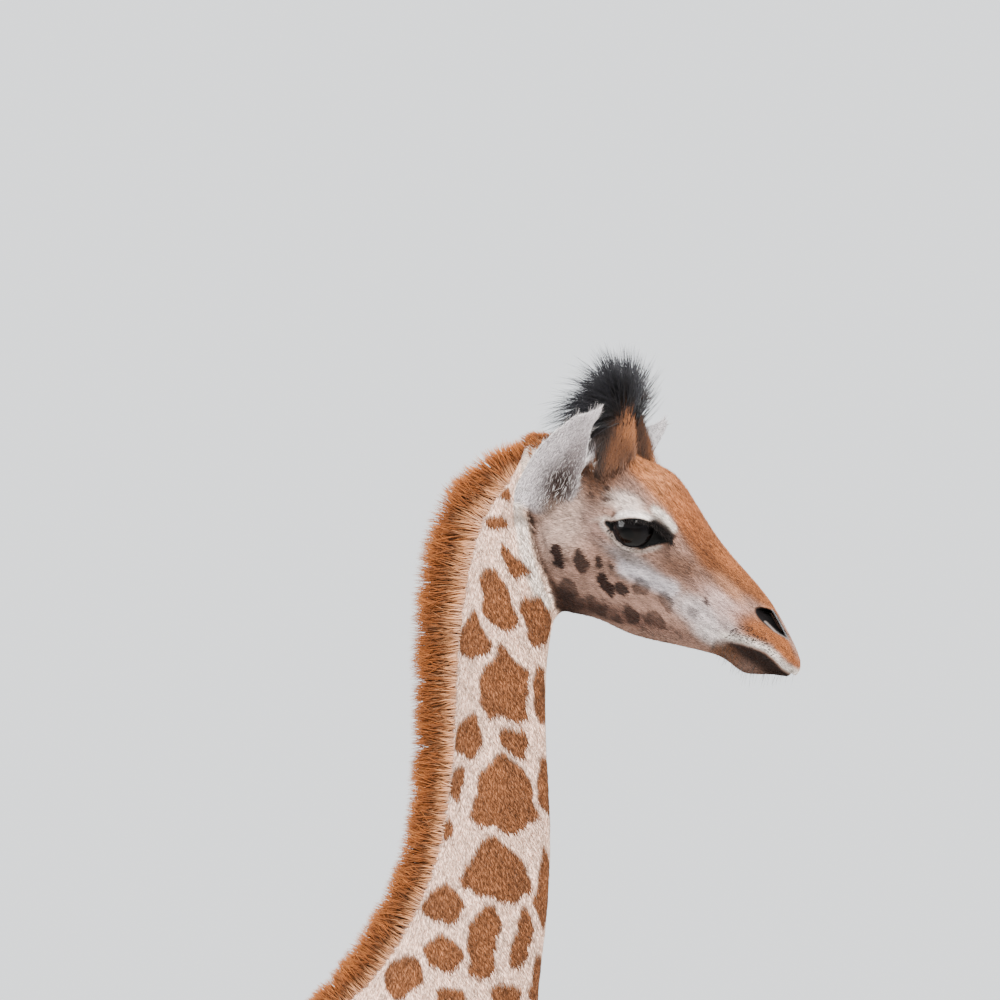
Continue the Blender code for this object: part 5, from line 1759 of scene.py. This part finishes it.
def eyeMaterial():
    material, tree, shader = newMaterial("eyeGloss", 0.07, 0.1)
    seen = attribute(tree, "gazePlace", "Vector")
    place = addNode(tree, "ShaderNodeSeparateXYZ", {0: seen}).outputs

    def squares(x, y):
        return maths(tree, "ADD", times(tree, x, x), times(tree, y, y))

    pupil = squares(maths(tree, "DIVIDE", place["X"], 0.30), maths(tree, "DIVIDE", place["Y"], 0.18))
    radius = maths(tree, "SQRT", squares(place["X"], place["Y"]))
    iris = rampOf(tree, noise(tree, seen, 16.0, 4.0), eyeColours["iris"])
    pupilTone, rimTone, whiteTone = ((*tone(*eyeColours[name]), 1) for name in ("pupil", "rim", "white"))
    colour = mixed(tree, remap(tree, pupil, 0.8, 1.2), pupilTone, iris)
    colour = mixed(tree, remap(tree, radius, 0.50, 0.60), colour, rimTone)
    colour = mixed(tree, remap(tree, radius, 0.74, 0.86), colour, whiteTone)
    tree.links.new(colour, shader.inputs["Base Color"])
    return material


eyeGloss = eyeMaterial()
for side, name in ((1, "right"), (-1, "left")):
    eye = makeObject("eye" + name.capitalize(), eyeMesh(side))
    eye.data.materials.append(eyeGloss)
    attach(eye, "root")
    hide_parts("eye_" + name)
print("eyes set", flush=True)


# hooves
hoofSet = {"levels": 2, "ringHeight": 0.0007}


def hoofMaterial():
    material, tree, shader = newMaterial("hoofHorn", 0.5)
    spot = addNode(tree, "ShaderNodeTexCoord").outputs["Object"]
    stretched = addNode(tree, "ShaderNodeMapping", {"Vector": spot, "Scale": (18.0, 18.0, 420.0)}).outputs[0]
    rings = noise(tree, stretched, 1.0, 3.0)
    colour = rampOf(tree, rings, [(0.3, (66, 56, 50)), (0.75, (118, 104, 92))])
    tree.links.new(colour, shader.inputs["Base Color"])
    bumped(tree, shader, hoofSet["ringHeight"], rings)
    return material


def soleEdge(edge):
    low = max(vertex.co.z for vertex in edge.verts) < 0.0005
    return 0.9 if low and edge.calc_face_angle(0) > 0.8 else 0.0


hoofNodes = [f"hoof_{end}_{side}_{claw}" for end in ("fore", "hind") for side in ("left", "right")
             for claw in ("inner", "outer")]
hoofHorn = hoofMaterial()
for name in hoofNodes:
    hoof = roundedNode(name, name.replace("_", " ").title().replace(" ", ""), hoofSet["levels"], soleEdge)
    hoof.data.shade_smooth()
    hoof.data.materials.clear()
    hoof.data.materials.append(hoofHorn)
    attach(hoof, "root")
    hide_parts(name)
print("hooves set", flush=True)

for blade in (spike, lock, strand):
    bpy.data.objects.remove(blade)


# floor, light and camera
studio = {"floor": (214, 212, 208), "sky": (0.95, 0.975, 1.0), "skyStrength": 1.7}
floorMesh = makeMesh("floor", np.array([(-40, -40, 0), (40, -40, 0), (40, 40, 0), (-40, 40, 0)], float),
                     np.array([(0, 1, 2, 3)]))
floor = makeObject("floor", floorMesh)
floorMaterial, _, floorShader = newMaterial("paleFloor", 0.9)
floorShader.inputs["Base Color"].default_value = (*tone(*studio["floor"]), 1)
floorMesh.materials.append(floorMaterial)

world = bpy.data.worlds.new("studio")
scene.world = world
world.use_nodes = True
sky = world.node_tree.nodes["Background"].inputs
sky[0].default_value = (*studio["sky"], 1)
sky[1].default_value = studio["skyStrength"]


def softbox(name, place, target, size, power, colour=(1, 1, 1)):
    light = bpy.data.lights.new(name, "AREA")
    light.shape = "RECTANGLE"
    light.size, light.size_y = size
    light.energy = power
    light.color = colour
    lamp = bpy.data.objects.new(name, light)
    lamp.location = place
    lamp.rotation_euler = (Vector(target) - Vector(place)).to_track_quat("-Z", "Y").to_euler()
    scene.collection.objects.link(lamp)


softbox("keyLight", (-3.0, -1.6, 5.0), (0, 0, 1.7), (2.6, 2.2), 900, (1.0, 0.97, 0.93))
softbox("fillLight", (4.2, -2.6, 2.8), (0, 0, 1.3), (3.0, 3.0), 300)
softbox("backLight", (-0.6, 4.2, 3.6), (0, 0, 1.4), (3.0, 2.0), 360)

cameraSet = {"distance": 9.0, "height": 1.55, "forward": 0.026, "aim": 2.07, "scale": 0.0013}
lens = bpy.data.cameras.new("camera")
lens.sensor_width = 36
lens.lens = 36 * cameraSet["distance"] / cameraSet["scale"] / 1000
lens.clip_end = 200
camera = bpy.data.objects.new("camera", lens)
scene.collection.objects.link(camera)
sideways = bodyMiddle - cameraSet["forward"]
rise = cameraSet["aim"] - cameraSet["height"]
camera.location = (-math.sqrt(cameraSet["distance"] ** 2 - rise ** 2), sideways, cameraSet["height"])
aim = Vector((0, sideways, cameraSet["aim"])) - camera.location
camera.rotation_euler = aim.to_track_quat("-Z", "Y").to_euler()
scene.camera = camera
